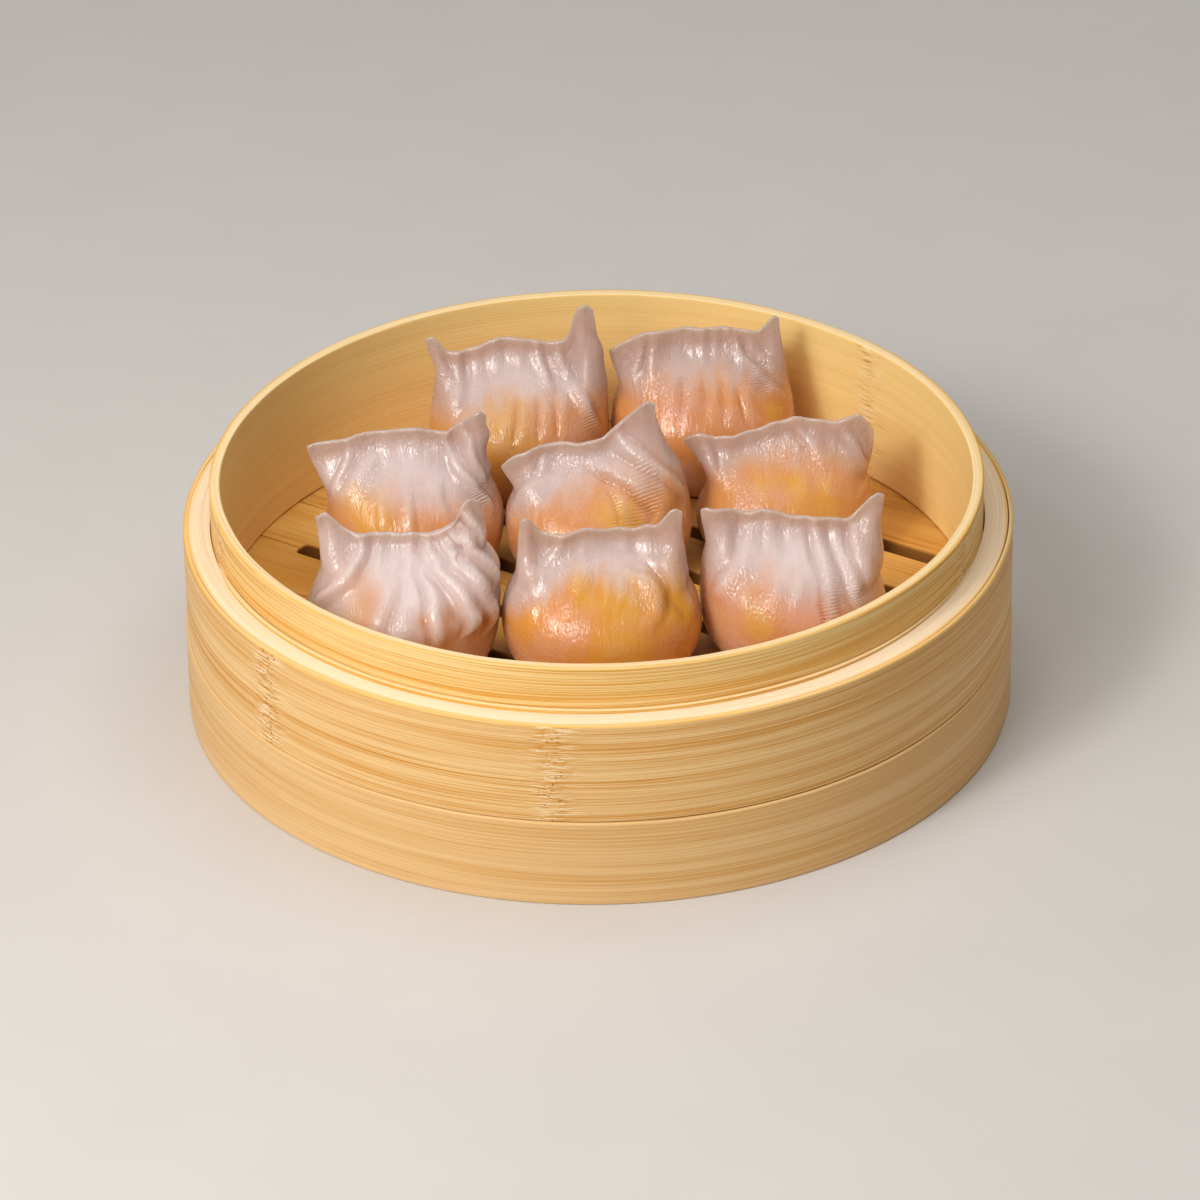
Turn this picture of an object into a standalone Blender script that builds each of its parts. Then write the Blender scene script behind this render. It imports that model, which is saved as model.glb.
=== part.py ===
"""One tier of a round bamboo steamer with eight pleated shrimp dumplings standing on its slatted floor."""

import math

import bmesh
import bpy
import numpy as np

MM = 0.001

# The basket: hoops of bent bamboo, stacked and nested, round a floor of parallel boards.
RING_STEPS = 64
GAP = 0.3 * MM
LOWER_RADIUS = 101.8 * MM
LOWER_HEIGHT = 22.6 * MM
NEST_RADIUS = 94.9 * MM
SHELF_RADIUS = 91.7 * MM
SHELF_BOTTOM = 12.4 * MM
FLOOR_TOP = 23.0 * MM
BOARD_THICKNESS = 4.0 * MM
BAND_RADIUS = 101.5 * MM
BAND_THICKNESS = 0.8 * MM
LEDGE_HEIGHT = 48.8 * MM
LEDGE_INNER_RADIUS = 94.8 * MM
RIM_RADIUS = 94.4 * MM
RIM_WALL = 2.7 * MM
RIM_HEIGHT = 60.4 * MM

# The floor boards lie side by side at one pitch, turned against the camera side of the basket.
BOARD_PITCH = 19.2 * MM
BOARD_TURN = math.radians(-33.0)
FIRST_JOINT = -73.6 * MM
JOINTS = 9
SLOT_WIDTH = 5.0 * MM
SLOT_CORNER = 1.3 * MM
SLOT_CORNER_STEPS = 4

# Where each steam slot starts and ends along its joint, from the front joint to the back one, in millimetres.
SLOT_SPANS = (
    (-50.0, 58.0), (-60.0, 68.0), (-78.5, 76.0), (-78.0, 78.0), (-73.0, 76.0), (-66.0, 72.0), (-50.0, 62.5),
)

# A dumpling is a grid of rings: AROUND points a ring, one ring at each of LEVELS from foot to crest.
AROUND = 40
LEVELS = (0.0, 0.07, 0.2, 0.36, 0.5, 0.62, 0.72, 0.81, 0.9, 1.0)
FOOT_SPREAD = 0.72
CREST_HALF_THICKNESS = 1.0 * MM
PLEAT_TOP = 0.92
PLEAT_FADE = 0.3

# Each dumpling, in millimetres. at: middle of the foot on the floor. left and right: how far each side
# reaches, as (reach, height over the foot) from the belly up. crest: outline of the flat top edge
# from the left ear to the right, as distance from the middle and height. depth: belly to front and back.
# bow: how far the ears lean back. pleats: number over the front, their depth, and how much they fan out.
DUMPLINGS = {
    "dumpling_front_left": {
        "at": (-46.5, -25.0),
        "left": ((24.4, 16.0), (22.3, 20.3), (20.4, 25.8), (20.7, 33.2), (21.0, 37.0)),
        "right": (
            (22.6, 15.5), (22.9, 18.5), (22.3, 21.4), (22.9, 25.7), (21.0, 29.7), (19.0, 31.7),
            (19.9, 34.0), (18.8, 38.3),
        ),
        "crest": (
            (-21.5, 39.0), (-18.9, 40.4), (-17.8, 39.6), (-15.0, 37.0), (-11.7, 35.3), (-4.9, 34.5),
            (1.2, 35.1), (3.5, 34.3), (6.6, 34.9), (10.3, 36.7), (12.2, 38.0), (13.9, 42.5), (15.7, 43.4),
            (18.4, 42.4),
        ),
        "depth": (21.0, 18.0),
        "bow": 1.0,
        "pleats": (7.0, 1.5, 0.45),
    },
    "dumpling_front_middle": {
        "at": (0.9, -27.0),
        "left": ((24.4, 12.4), (24.1, 16.5), (22.9, 20.2), (20.8, 24.2), (20.6, 27.5), (20.1, 33.6)),
        "right": (
            (24.1, 11.0), (23.8, 14.0), (23.0, 17.6), (20.9, 22.2), (21.1, 23.4), (20.2, 30.0),
            (19.4, 36.5),
        ),
        "crest": (
            (-19.6, 38.2), (-18.1, 39.2), (-16.5, 37.8), (-14.6, 35.7), (-11.3, 35.1), (-4.2, 36.2),
            (3.5, 35.5), (8.5, 35.5), (10.9, 36.5), (13.1, 36.6), (14.8, 38.4), (16.6, 40.6), (18.0, 41.2),
            (19.6, 40.4),
        ),
        "depth": (21.0, 18.0),
        "bow": 0.0,
        "pleats": (5.0, 0.9, 0.2),
    },
    "dumpling_front_right": {
        "at": (47.0, -20.5),
        "left": ((22.3, 14.0), (22.1, 20.3), (21.6, 24.2), (20.7, 28.1), (21.2, 31.6), (21.9, 35.5)),
        "right": (
            (23.2, 11.5), (21.8, 17.5), (20.9, 19.4), (22.1, 21.0), (22.4, 25.3), (21.9, 28.8),
            (21.5, 32.7), (22.0, 36.6),
        ),
        "crest": (
            (-22.0, 36.8), (-20.8, 37.8), (-16.9, 37.4), (-12.9, 36.3), (-10.2, 36.0), (-7.0, 36.8),
            (-2.0, 35.8), (3.4, 35.2), (8.8, 34.4), (12.9, 33.7), (14.0, 34.3), (16.6, 37.1), (18.9, 39.8),
            (20.9, 40.7), (22.4, 39.9),
        ),
        "depth": (20.0, 18.0),
        "bow": 1.0,
        "pleats": (7.0, 1.1, 0.1),
    },
    "dumpling_middle_left": {
        "at": (-46.2, 21.5),
        "left": ((21.6, 12.0), (20.6, 16.0), (20.6, 19.0), (21.1, 21.8), (22.7, 25.8), (24.3, 29.4)),
        "right": (
            (23.0, 12.5), (22.8, 15.4), (21.2, 20.2), (19.6, 24.6), (20.2, 25.8), (19.0, 30.2),
            (19.1, 33.0), (20.2, 36.5), (19.2, 39.3),
        ),
        "crest": (
            (-25.4, 32.8), (-23.2, 33.8), (-18.3, 34.9), (-13.0, 36.2), (-6.1, 37.2), (1.9, 38.0),
            (7.1, 36.8), (9.5, 36.2), (11.3, 37.9), (14.1, 40.2), (16.2, 42.3), (17.8, 43.1), (19.2, 41.4),
        ),
        "depth": (20.0, 18.0),
        "bow": 0.0,
        "pleats": (6.0, 1.0, 0.25),
    },
    "dumpling_middle": {
        "at": (0.2, 19.0),
        "left": ((23.1, 12.0), (22.8, 16.4), (21.0, 20.8), (20.8, 23.1), (22.8, 26.4)),
        "right": (
            (23.2, 12.0), (22.6, 18.3), (21.6, 23.9), (20.6, 27.9), (18.5, 31.5), (16.2, 36.7),
            (14.5, 41.9),
        ),
        "crest": (
            (-23.9, 28.3), (-22.4, 29.9), (-20.2, 31.7), (-17.5, 32.6), (-14.3, 33.5), (-9.1, 34.3),
            (-5.0, 34.3), (-1.5, 35.0), (1.3, 35.8), (4.8, 38.9), (8.3, 42.2), (11.1, 44.7), (13.1, 45.2),
            (14.4, 44.4),
        ),
        "depth": (20.0, 18.0),
        "bow": 0.0,
        "pleats": (5.0, 1.1, 0.35),
    },
    "dumpling_middle_right": {
        "at": (46.7, 28.0),
        "left": ((22.1, 9.0), (21.6, 11.9), (19.6, 16.3), (19.3, 19.5), (20.8, 23.2), (23.2, 27.2)),
        "right": ((22.2, 11.0), (21.8, 13.9), (21.1, 17.6), (20.2, 20.8), (21.2, 22.4), (22.1, 27.9)),
        "crest": (
            (-25.2, 29.7), (-23.9, 30.6), (-21.4, 31.0), (-18.0, 30.4), (-14.5, 30.5), (-11.0, 31.7),
            (-6.8, 32.5), (-2.3, 34.0), (1.5, 34.9), (6.4, 35.0), (13.3, 34.3), (16.5, 36.0), (18.5, 36.3),
            (19.9, 34.3), (22.2, 31.6),
        ),
        "depth": (19.0, 17.0),
        "bow": 0.0,
        "pleats": (6.0, 0.8, 0.15),
    },
    "dumpling_back_left": {
        "at": (-19.4, 63.0),
        "left": ((22.9, 14.0), (22.6, 20.3), (21.6, 25.1), (21.0, 30.9), (21.2, 33.5), (22.7, 37.9)),
        "right": (
            (22.8, 15.0), (22.5, 22.4), (22.5, 27.9), (21.7, 33.0), (21.6, 37.1), (19.9, 41.5),
            (19.7, 44.7),
        ),
        "crest": (
            (-23.2, 40.1), (-22.0, 41.1), (-20.7, 40.6), (-19.3, 38.6), (-17.9, 36.9), (-13.1, 37.3),
            (-9.2, 38.7), (-5.3, 40.0), (2.7, 39.9), (7.5, 38.9), (11.1, 39.2), (12.7, 40.8), (13.9, 44.8),
            (14.3, 47.2), (15.8, 48.8), (17.4, 49.3), (19.2, 47.4),
        ),
        "depth": (20.0, 17.0),
        "bow": 0.0,
        "pleats": (6.0, 1.0, 0.2),
    },
    "dumpling_back_right": {
        "at": (27.2, 66.0),
        "left": ((23.5, 14.0), (22.9, 20.4), (21.2, 24.4), (21.2, 26.3), (22.1, 30.0), (23.5, 33.7)),
        "right": ((23.4, 14.4), (22.8, 20.7), (21.6, 26.2), (20.8, 32.8), (19.7, 39.1)),
        "crest": (
            (-23.7, 34.6), (-21.7, 36.5), (-18.1, 37.9), (-15.2, 39.9), (-12.3, 40.3), (-3.3, 40.7),
            (6.4, 40.8), (13.1, 39.7), (14.7, 40.6), (16.7, 42.9), (18.3, 43.7), (19.4, 42.4),
        ),
        "depth": (20.0, 17.0),
        "bow": 0.0,
        "pleats": (7.0, 0.9, 0.15),
    },
}


def material(name, colour, roughness):
    """A plain Principled material."""
    made = bpy.data.materials.new(name)
    made.use_nodes = True
    shader = made.node_tree.nodes["Principled BSDF"]
    shader.inputs["Base Color"].default_value = (*colour, 1.0)
    shader.inputs["Roughness"].default_value = roughness
    shader.inputs["Metallic"].default_value = 0.0
    return made


def add_object(name, mesh, collection, finish):
    """An object for this mesh, in this collection, with this material."""
    made = bpy.data.objects.new(name, mesh)
    collection.objects.link(made)
    mesh.materials.append(finish)
    return made


def add_ring(name, profile, collection, finish):
    """A turned ring: the closed outline of its section, as (radius, height) pairs, swept round the Z axis.

    The outline starts at its outer top corner and runs down the outer side.
    """
    mesh = bpy.data.meshes.new(name)
    corners = [(radius, 0.0, height) for radius, height in profile]
    edges = [(i, (i + 1) % len(corners)) for i in range(len(corners))]
    mesh.from_pydata(corners, edges, [])
    ring = add_object(name, mesh, collection, finish)
    screw = ring.modifiers.new("turn", "SCREW")
    screw.axis = "Z"
    screw.angle = 2.0 * math.pi
    screw.steps = RING_STEPS
    screw.render_steps = RING_STEPS
    screw.use_merge_vertices = True
    screw.merge_threshold = 0.00001
    return ring


def add_cutter(name, mesh, collection):
    """A hidden object that only shapes others."""
    cutter = bpy.data.objects.new(name, mesh)
    collection.objects.link(cutter)
    cutter.hide_render = True
    cutter.display_type = "WIRE"
    return cutter


def disc_mesh(name, radius, height):
    """A round plate, standing on the ring corners' angles so that its rim runs beside the hoops' facets."""
    mesh = bpy.data.meshes.new(name)
    shape = bmesh.new()
    bmesh.ops.create_cone(
        shape, cap_ends=True, segments=RING_STEPS, radius1=radius, radius2=radius, depth=height
    )
    first = min(shape.verts, key=lambda v: abs(math.atan2(v.co.y, v.co.x)))
    turn = -math.atan2(first.co.y, first.co.x)
    for vert in shape.verts:
        x = vert.co.x * math.cos(turn) - vert.co.y * math.sin(turn)
        y = vert.co.x * math.sin(turn) + vert.co.y * math.cos(turn)
        vert.co.x = x
        vert.co.y = y
    shape.to_mesh(mesh)
    shape.free()
    return mesh


def slot_mesh(name, start, end):
    """A bar with small round corners, lying along X: the shape of one steam slot."""
    mesh = bpy.data.meshes.new(name)
    shape = bmesh.new()
    side = SLOT_WIDTH / 2.0 - SLOT_CORNER
    first = start + SLOT_CORNER
    last = end - SLOT_CORNER
    outline = []
    for quarter, (x, y) in enumerate(((last, -side), (last, side), (first, side), (first, -side))):
        for step in range(SLOT_CORNER_STEPS + 1):
            angle = math.pi / 2.0 * (quarter - 1 + step / SLOT_CORNER_STEPS)
            edge = (x + SLOT_CORNER * math.cos(angle), y + SLOT_CORNER * math.sin(angle), -BOARD_THICKNESS)
            outline.append(shape.verts.new(edge))
    face = shape.faces.new(outline)
    face.normal_flip()
    raised = bmesh.ops.extrude_face_region(shape, geom=[face])
    lifted = [item for item in raised["geom"] if isinstance(item, bmesh.types.BMVert)]
    bmesh.ops.translate(shape, verts=lifted, vec=(0.0, 0.0, 2.0 * BOARD_THICKNESS))
    bmesh.ops.recalc_face_normals(shape, faces=shape.faces)
    shape.to_mesh(mesh)
    shape.free()
    return mesh


def add_boolean(target, cutter, operation):
    """Cut the target with the cutter, exactly."""
    cut = target.modifiers.new(cutter.name, "BOOLEAN")
    cut.operation = operation
    cut.solver = "EXACT"
    cut.object = cutter


def board_mesh(name, low, high):
    """A plank along X, longer than the floor is wide, from one Y to another."""
    mesh = bpy.data.meshes.new(name)
    shape = bmesh.new()
    bmesh.ops.create_cube(shape, size=1.0)
    bmesh.ops.scale(shape, verts=shape.verts, vec=(2.2 * NEST_RADIUS, high - low, BOARD_THICKNESS))
    bmesh.ops.translate(shape, verts=shape.verts, vec=(0.0, (low + high) / 2.0, 0.0))
    shape.to_mesh(mesh)
    shape.free()
    return mesh


def add_floor(collection, cutters, finish):
    """The floor: parallel boards trimmed to a circle, with a slot centred on each inner joint."""
    middle = (0.0, 0.0, FLOOR_TOP - BOARD_THICKNESS / 2.0)
    trim = add_cutter("floor_trim", disc_mesh("floor_trim", NEST_RADIUS - GAP, BOARD_THICKNESS * 3.0), cutters)
    trim.location = middle
    joints = [FIRST_JOINT + BOARD_PITCH * i for i in range(JOINTS)]
    slots = {}
    for i in range(1, JOINTS - 1):
        start, end = SLOT_SPANS[i - 1]
        slot = add_cutter(f"slot_{i}", slot_mesh(f"slot_{i}", start * MM, end * MM), cutters)
        shift = (-math.sin(BOARD_TURN) * joints[i], math.cos(BOARD_TURN) * joints[i])
        slot.location = (shift[0], shift[1], middle[2])
        slot.rotation_euler = (0.0, 0.0, BOARD_TURN)
        slots[i] = slot
    edges = [-NEST_RADIUS - BOARD_PITCH, *joints, NEST_RADIUS + BOARD_PITCH]
    for i in range(JOINTS + 1):
        name = f"floor_board_{i + 1:02d}"
        mesh = board_mesh(name, edges[i] + GAP / 2.0, edges[i + 1] - GAP / 2.0)
        board = add_object(name, mesh, collection, finish)
        board.location = middle
        board.rotation_euler = (0.0, 0.0, BOARD_TURN)
        add_boolean(board, trim, "INTERSECT")
        for joint in (i - 1, i):
            if joint in slots:
                add_boolean(board, slots[joint], "DIFFERENCE")


def ease(t):
    """A smooth step from 0 to 1."""
    t = np.clip(t, 0.0, 1.0)
    return t * t * (3.0 - 2.0 * t)


def side_reach(z, side, tip):
    """How far the skin reaches sideways at each height z: a round foot, then the outline up to the ear's tip.

    The outline is (reach, height) points from the belly up, its corners rounded by a short running mean.
    """
    reach, level = np.array(side + (tip,)).T
    outline = np.mean([np.interp(z + offset, level, reach) for offset in np.linspace(-1.0, 1.0, 5)], axis=0)
    low = np.clip(z / level[0], 0.0, 1.0)
    return outline * (FOOT_SPREAD + (1.0 - FOOT_SPREAD) * np.sqrt(1.0 - (1.0 - low) ** 2))


def front_reach(v, depth, belly_v):
    """How far the skin reaches to the front or back: round belly, closing to the thin crest."""
    low = np.clip(v / belly_v, 0.0, 1.0)
    foot = FOOT_SPREAD + (1.0 - FOOT_SPREAD) * np.sqrt(1.0 - (1.0 - low) ** 2)
    closing = np.clip((v - belly_v) / (0.92 - belly_v), 0.0, 1.0) ** 1.2
    crest = CREST_HALF_THICKNESS / MM
    return crest + (depth * foot - crest) * (0.5 + 0.5 * np.cos(math.pi * closing))


def dumpling_rings(form):
    """The dumpling's skin as an array [level, point, xyz] in millimetres, over the middle of its foot.

    A ring at height fraction v is a rounded oval: x = reach * cos(angle), y = depth * |sin(angle)| ** power.
    Higher up, the oval turns into a thin strip under the crest, whose outline lifts into an ear at each end.
    """
    crest_x = np.array([point[0] for point in form["crest"]])
    crest_z = np.array([point[1] for point in form["crest"]])
    height = float(np.median(crest_z))
    v = np.array(LEVELS)[:, None]
    angle = 2.0 * math.pi * np.arange(AROUND)[None, :] / AROUND
    across = np.cos(angle)
    front = np.sin(angle) < 0.0

    lift = ease((v - 0.45) / 0.55) ** 1.4
    left = side_reach(height * v + (crest_z[0] - height) * lift, form["left"], (-crest_x[0], crest_z[0]))
    right = side_reach(height * v + (crest_z[-1] - height) * lift, form["right"], (crest_x[-1], crest_z[-1]))
    x = (right - left) / 2.0 + across * (right + left) / 2.0

    count, deep, fan = form["pleats"]
    place = across * (1.0 + fan * (v - 0.5))
    ridge = np.cos(2.0 * math.pi * count * np.arcsin(np.clip(place, -1.0, 1.0)) / math.pi)
    rise = ease((v - PLEAT_FADE) / 0.3) * ease((PLEAT_TOP - v) / 0.2 + 0.4)
    pleat = deep * ridge * rise * np.sqrt(np.abs(np.sin(angle))) * front

    belly_v = (form["left"][0][1] + form["right"][0][1]) / (2.0 * height)
    deep_front = front_reach(v, form["depth"][0], belly_v)
    deep_back = front_reach(v, form["depth"][1], belly_v)
    power = 0.95 - 0.6 * ease((v - 0.55) / 0.45)
    round_off = np.abs(np.sin(angle)) ** power
    lean = form["bow"] * across**2 * v**2
    y = np.where(front, -deep_front * round_off - pleat, deep_back * round_off) + lean

    outline = np.interp(across, (crest_x - crest_x[0]) / (crest_x[-1] - crest_x[0]) * 2.0 - 1.0, crest_z)
    z = height * v + (outline - height) * lift
    return np.stack(np.broadcast_arrays(x, y, z), axis=-1)


def add_dumpling(name, form, collection, finish):
    """One dumpling: the rings joined by quads, closed by a flat foot below and a strip along the crest."""
    rings = dumpling_rings(form) * MM
    levels = len(LEVELS)
    faces = []
    for j in range(levels - 1):
        for i in range(AROUND):
            k = (i + 1) % AROUND
            faces.append((j * AROUND + i, j * AROUND + k, (j + 1) * AROUND + k, (j + 1) * AROUND + i))
    faces.append(tuple(reversed(range(AROUND))))
    top = (levels - 1) * AROUND
    half = AROUND // 2
    faces.append((top, top + 1, top + AROUND - 1))
    for i in range(1, half - 1):
        faces.append((top + i, top + i + 1, top + AROUND - i - 1, top + AROUND - i))
    faces.append((top + half - 1, top + half, top + half + 1))
    mesh = bpy.data.meshes.new(name)
    mesh.from_pydata(rings.reshape(-1, 3).tolist(), [], faces)
    mesh.shade_smooth()
    dumpling = add_object(name, mesh, collection, finish)
    dumpling.location = (form["at"][0] * MM, form["at"][1] * MM, FLOOR_TOP + GAP)


def main():
    for old in list(bpy.data.objects):
        bpy.data.objects.remove(old, do_unlink=True)
    collection = bpy.data.collections.new("dumpling_steamer")
    cutters = bpy.data.collections.new("cutters")
    bpy.context.scene.collection.children.link(collection)
    bpy.context.scene.collection.children.link(cutters)

    hoop_bamboo = material("hoop_bamboo", (0.74, 0.48, 0.18), 0.5)
    pale_bamboo = material("pale_bamboo", (0.90, 0.70, 0.42), 0.6)
    floor_bamboo = material("floor_bamboo", (0.66, 0.36, 0.09), 0.5)
    skin = material("dumpling_skin", (0.78, 0.50, 0.33), 0.25)

    lower = [
        (LOWER_RADIUS, LOWER_HEIGHT),
        (LOWER_RADIUS, 0.0),
        (NEST_RADIUS, 0.0),
        (NEST_RADIUS, LOWER_HEIGHT),
    ]
    add_ring("lower_hoop", lower, collection, hoop_bamboo)

    shelf_top = FLOOR_TOP - BOARD_THICKNESS - GAP
    shelf = [
        (NEST_RADIUS - GAP, shelf_top),
        (NEST_RADIUS - GAP, SHELF_BOTTOM),
        (SHELF_RADIUS, SHELF_BOTTOM),
        (SHELF_RADIUS, shelf_top),
    ]
    add_ring("floor_shelf", shelf, collection, hoop_bamboo)

    seam = LOWER_HEIGHT + GAP
    core_radius = BAND_RADIUS - BAND_THICKNESS - GAP
    upper = [
        (core_radius, LEDGE_HEIGHT),
        (core_radius, seam),
        (LEDGE_INNER_RADIUS, seam),
        (LEDGE_INNER_RADIUS, LEDGE_HEIGHT),
    ]
    add_ring("upper_hoop", upper, collection, pale_bamboo)

    band = [
        (BAND_RADIUS, LEDGE_HEIGHT),
        (BAND_RADIUS, seam),
        (core_radius + GAP, seam),
        (core_radius + GAP, LEDGE_HEIGHT),
    ]
    add_ring("upper_band", band, collection, hoop_bamboo)

    rim = [
        (RIM_RADIUS, RIM_HEIGHT),
        (RIM_RADIUS, FLOOR_TOP + GAP),
        (RIM_RADIUS - RIM_WALL, FLOOR_TOP + GAP),
        (RIM_RADIUS - RIM_WALL, RIM_HEIGHT),
    ]
    add_ring("rim_hoop", rim, collection, hoop_bamboo)

    add_floor(collection, cutters, floor_bamboo)
    for name, form in DUMPLINGS.items():
        add_dumpling(name, form, collection, skin)


main()
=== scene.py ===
# %% [markdown]
# # Har gow in a bamboo steamer
# Eight prawn dumplings stand on the slatted floor of one round steamer tier. The measured parts come
# packed as a fixed frame of named CAD nodes. This lesson gives each of them its finished surface: bent
# bamboo hoops with grain, planed floor boards, and pleated, translucent dough over an orange filling.

# %% Load the frame
import math

import bmesh
import bpy
import numpy as np
from mathutils import Matrix, Vector


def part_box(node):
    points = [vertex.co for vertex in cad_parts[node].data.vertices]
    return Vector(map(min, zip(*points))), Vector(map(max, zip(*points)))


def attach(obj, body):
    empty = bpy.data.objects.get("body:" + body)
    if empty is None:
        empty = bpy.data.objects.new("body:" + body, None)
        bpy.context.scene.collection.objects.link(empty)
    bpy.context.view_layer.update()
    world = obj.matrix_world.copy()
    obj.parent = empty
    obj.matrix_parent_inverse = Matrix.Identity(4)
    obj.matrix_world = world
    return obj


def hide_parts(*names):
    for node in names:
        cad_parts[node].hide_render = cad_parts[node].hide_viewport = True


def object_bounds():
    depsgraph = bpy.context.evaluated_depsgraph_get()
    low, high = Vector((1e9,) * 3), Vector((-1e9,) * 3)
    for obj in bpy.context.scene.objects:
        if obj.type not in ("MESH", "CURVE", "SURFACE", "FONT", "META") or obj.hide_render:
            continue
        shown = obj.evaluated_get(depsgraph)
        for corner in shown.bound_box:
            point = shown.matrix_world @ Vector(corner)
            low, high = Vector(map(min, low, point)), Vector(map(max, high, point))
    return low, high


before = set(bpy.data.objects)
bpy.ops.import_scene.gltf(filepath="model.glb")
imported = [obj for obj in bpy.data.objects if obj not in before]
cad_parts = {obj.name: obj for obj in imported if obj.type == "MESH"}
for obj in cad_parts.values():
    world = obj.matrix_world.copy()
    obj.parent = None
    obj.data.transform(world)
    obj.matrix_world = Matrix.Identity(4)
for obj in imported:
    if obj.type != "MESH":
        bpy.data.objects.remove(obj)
cad_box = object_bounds()
MM = 0.001
box_sides = [round(side / MM, 1) for side in cad_box[1] - cad_box[0]]
print("CAD nodes:", len(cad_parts), "box:", box_sides, "mm")

# %% [markdown]
# ## Camera
# The basket is seen from about 30 degrees above the table, from far enough away that its far rim looks
# almost as wide as its near one. A long lens at a distance gives that, where a short one would spread it.

# %% Camera
CAMERA_DISTANCE = 1.624
CAMERA_HEIGHT_ANGLE = math.radians(30.38)
CAMERA_TILT = math.radians(-0.937)
CAMERA_AIM = Vector((0.00027, 0.0, 0.0235))
CAMERA_LENS = 197.5


def add_camera():
    """A camera on a sphere round the aim point, rolled a little about its own line of sight."""
    back = Vector((0.0, -math.cos(CAMERA_HEIGHT_ANGLE), math.sin(CAMERA_HEIGHT_ANGLE)))
    up = Vector((0.0, math.sin(CAMERA_HEIGHT_ANGLE), math.cos(CAMERA_HEIGHT_ANGLE)))
    side = Vector((1.0, 0.0, 0.0))
    rolled_side = math.cos(CAMERA_TILT) * side + math.sin(CAMERA_TILT) * up
    rolled_up = -math.sin(CAMERA_TILT) * side + math.cos(CAMERA_TILT) * up
    camera = bpy.data.objects.new("camera", bpy.data.cameras.new("camera"))
    bpy.context.scene.collection.objects.link(camera)
    camera.data.lens = CAMERA_LENS
    place = Matrix((rolled_side, rolled_up, back)).transposed().to_4x4()
    place.translation = CAMERA_AIM + back * CAMERA_DISTANCE
    camera.matrix_world = place
    bpy.context.scene.camera = camera
    return camera


camera = add_camera()
print("camera at", [round(value, 3) for value in camera.location], "m")

# %% [markdown]
# ## Writing materials as sums
# A material is a web of nodes. Wired by hand it is hard to read, so a small class stands for one
# output of a node: adding or multiplying two of them adds the Math node that does it, and a recipe
# makes every other node from its type, its settings and what goes into its sockets.


# %% Shader helpers
class Value:
    """One output of a node. Sums of values become Math nodes."""

    def __init__(self, recipe, socket):
        self.recipe = recipe
        self.socket = socket

    def maths(self, operation, first, second=0.0):
        return self.recipe.node("ShaderNodeMath", {"operation": operation}, {0: first, 1: second})

    def __add__(self, other):
        return self.maths("ADD", self, other)

    __radd__ = __add__

    def __sub__(self, other):
        return self.maths("SUBTRACT", self, other)

    def __rsub__(self, other):
        return self.maths("SUBTRACT", other, self)

    def __mul__(self, other):
        return self.maths("MULTIPLY", self, other)

    __rmul__ = __mul__


class Recipe:
    """A new material and the nodes that go into it."""

    def __init__(self, name):
        self.material = bpy.data.materials.new(name)
        self.material.use_nodes = True
        self.tree = self.material.node_tree
        self.shader = self.tree.nodes["Principled BSDF"]

    def node(self, kind, settings, inputs, output=0):
        """One node: its settings first, then numbers or links for its sockets."""
        made = self.tree.nodes.new(kind)
        for key, value in settings.items():
            setattr(made, key, value)
        for key, value in inputs.items():
            self.feed(made.inputs[key], value)
        return Value(self, made.outputs[output])

    def feed(self, socket, value):
        """Link a value to a socket, or set the socket to a plain number or colour."""
        if isinstance(value, Value):
            self.tree.links.new(value.socket, socket)
        else:
            socket.default_value = value

    def place(self):
        """Position on the object, in metres."""
        return self.node("ShaderNodeTexCoord", {}, {}, "Object")

    def attribute(self, name):
        """A number stored on the mesh's points."""
        return self.node("ShaderNodeAttribute", {"attribute_name": name}, {}, "Fac")

    def stretch(self, vector, scale):
        """The vector times a scale in X, Y and Z."""
        return self.node("ShaderNodeVectorMath", {"operation": "MULTIPLY"}, {0: vector, 1: scale})

    def noise(self, vector, scale, detail=2.0, roughness=0.5, distortion=0.0):
        """Smooth noise from 0 to 1 at that many grains a metre."""
        inputs = {"Vector": vector, "Scale": scale, "Detail": detail}
        inputs |= {"Roughness": roughness, "Distortion": distortion}
        return self.node("ShaderNodeTexNoise", {}, inputs, 0)

    def ramp(self, value, low, high, start=0.0, end=1.0):
        """A smooth step: start below low, end above high."""
        inputs = {0: value, 1: low, 2: high, 3: start, 4: end}
        return self.node("ShaderNodeMapRange", {"interpolation_type": "SMOOTHSTEP"}, inputs)

    def mix(self, share, first, second):
        """Two colours mixed: first where share is 0, second where it is 1."""
        colours = [(*c, 1.0) if isinstance(c, tuple) else c for c in (first, second)]
        settings = {"data_type": "RGBA", "clamp_factor": True}
        return self.node("ShaderNodeMix", settings, {0: share, 6: colours[0], 7: colours[1]}, 2)

    def bump(self, height, distance):
        """A normal tilted as if the surface rose by height times distance, in metres."""
        inputs = {"Height": height, "Distance": distance, "Strength": 1.0}
        return self.node("ShaderNodeBump", {}, inputs)

    def axis(self, number):
        """One axis of the position on the object: 0 for X, 1 for Y, 2 for Z."""
        return self.node("ShaderNodeSeparateXYZ", {}, {0: self.place()}, number)

    def grain(self, vector, stretch, detail=1.0, roughness=0.5, distortion=0.0):
        """Noise with its own number of grains a metre along each axis."""
        return self.noise(self.stretch(vector, stretch), 1.0, detail, roughness, distortion)

    def finish(self, fixed, **fed):
        """Set the shader's plain sockets, then link what changes over the surface."""
        for key, value in fixed.items():
            self.shader.inputs[key].default_value = value
        for key, value in fed.items():
            self.feed(self.shader.inputs[key.replace("_", " ")], value)
        return self.material


def srgb(red, green, blue):
    """A colour picked on a 0 to 255 scale, as the linear light that shaders use."""
    share = np.array([red, green, blue]) / 255.0
    linear = np.where(share <= 0.04045, share / 12.92, ((share + 0.055) / 1.055) ** 2.4)
    return tuple(float(value) for value in linear)


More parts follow.
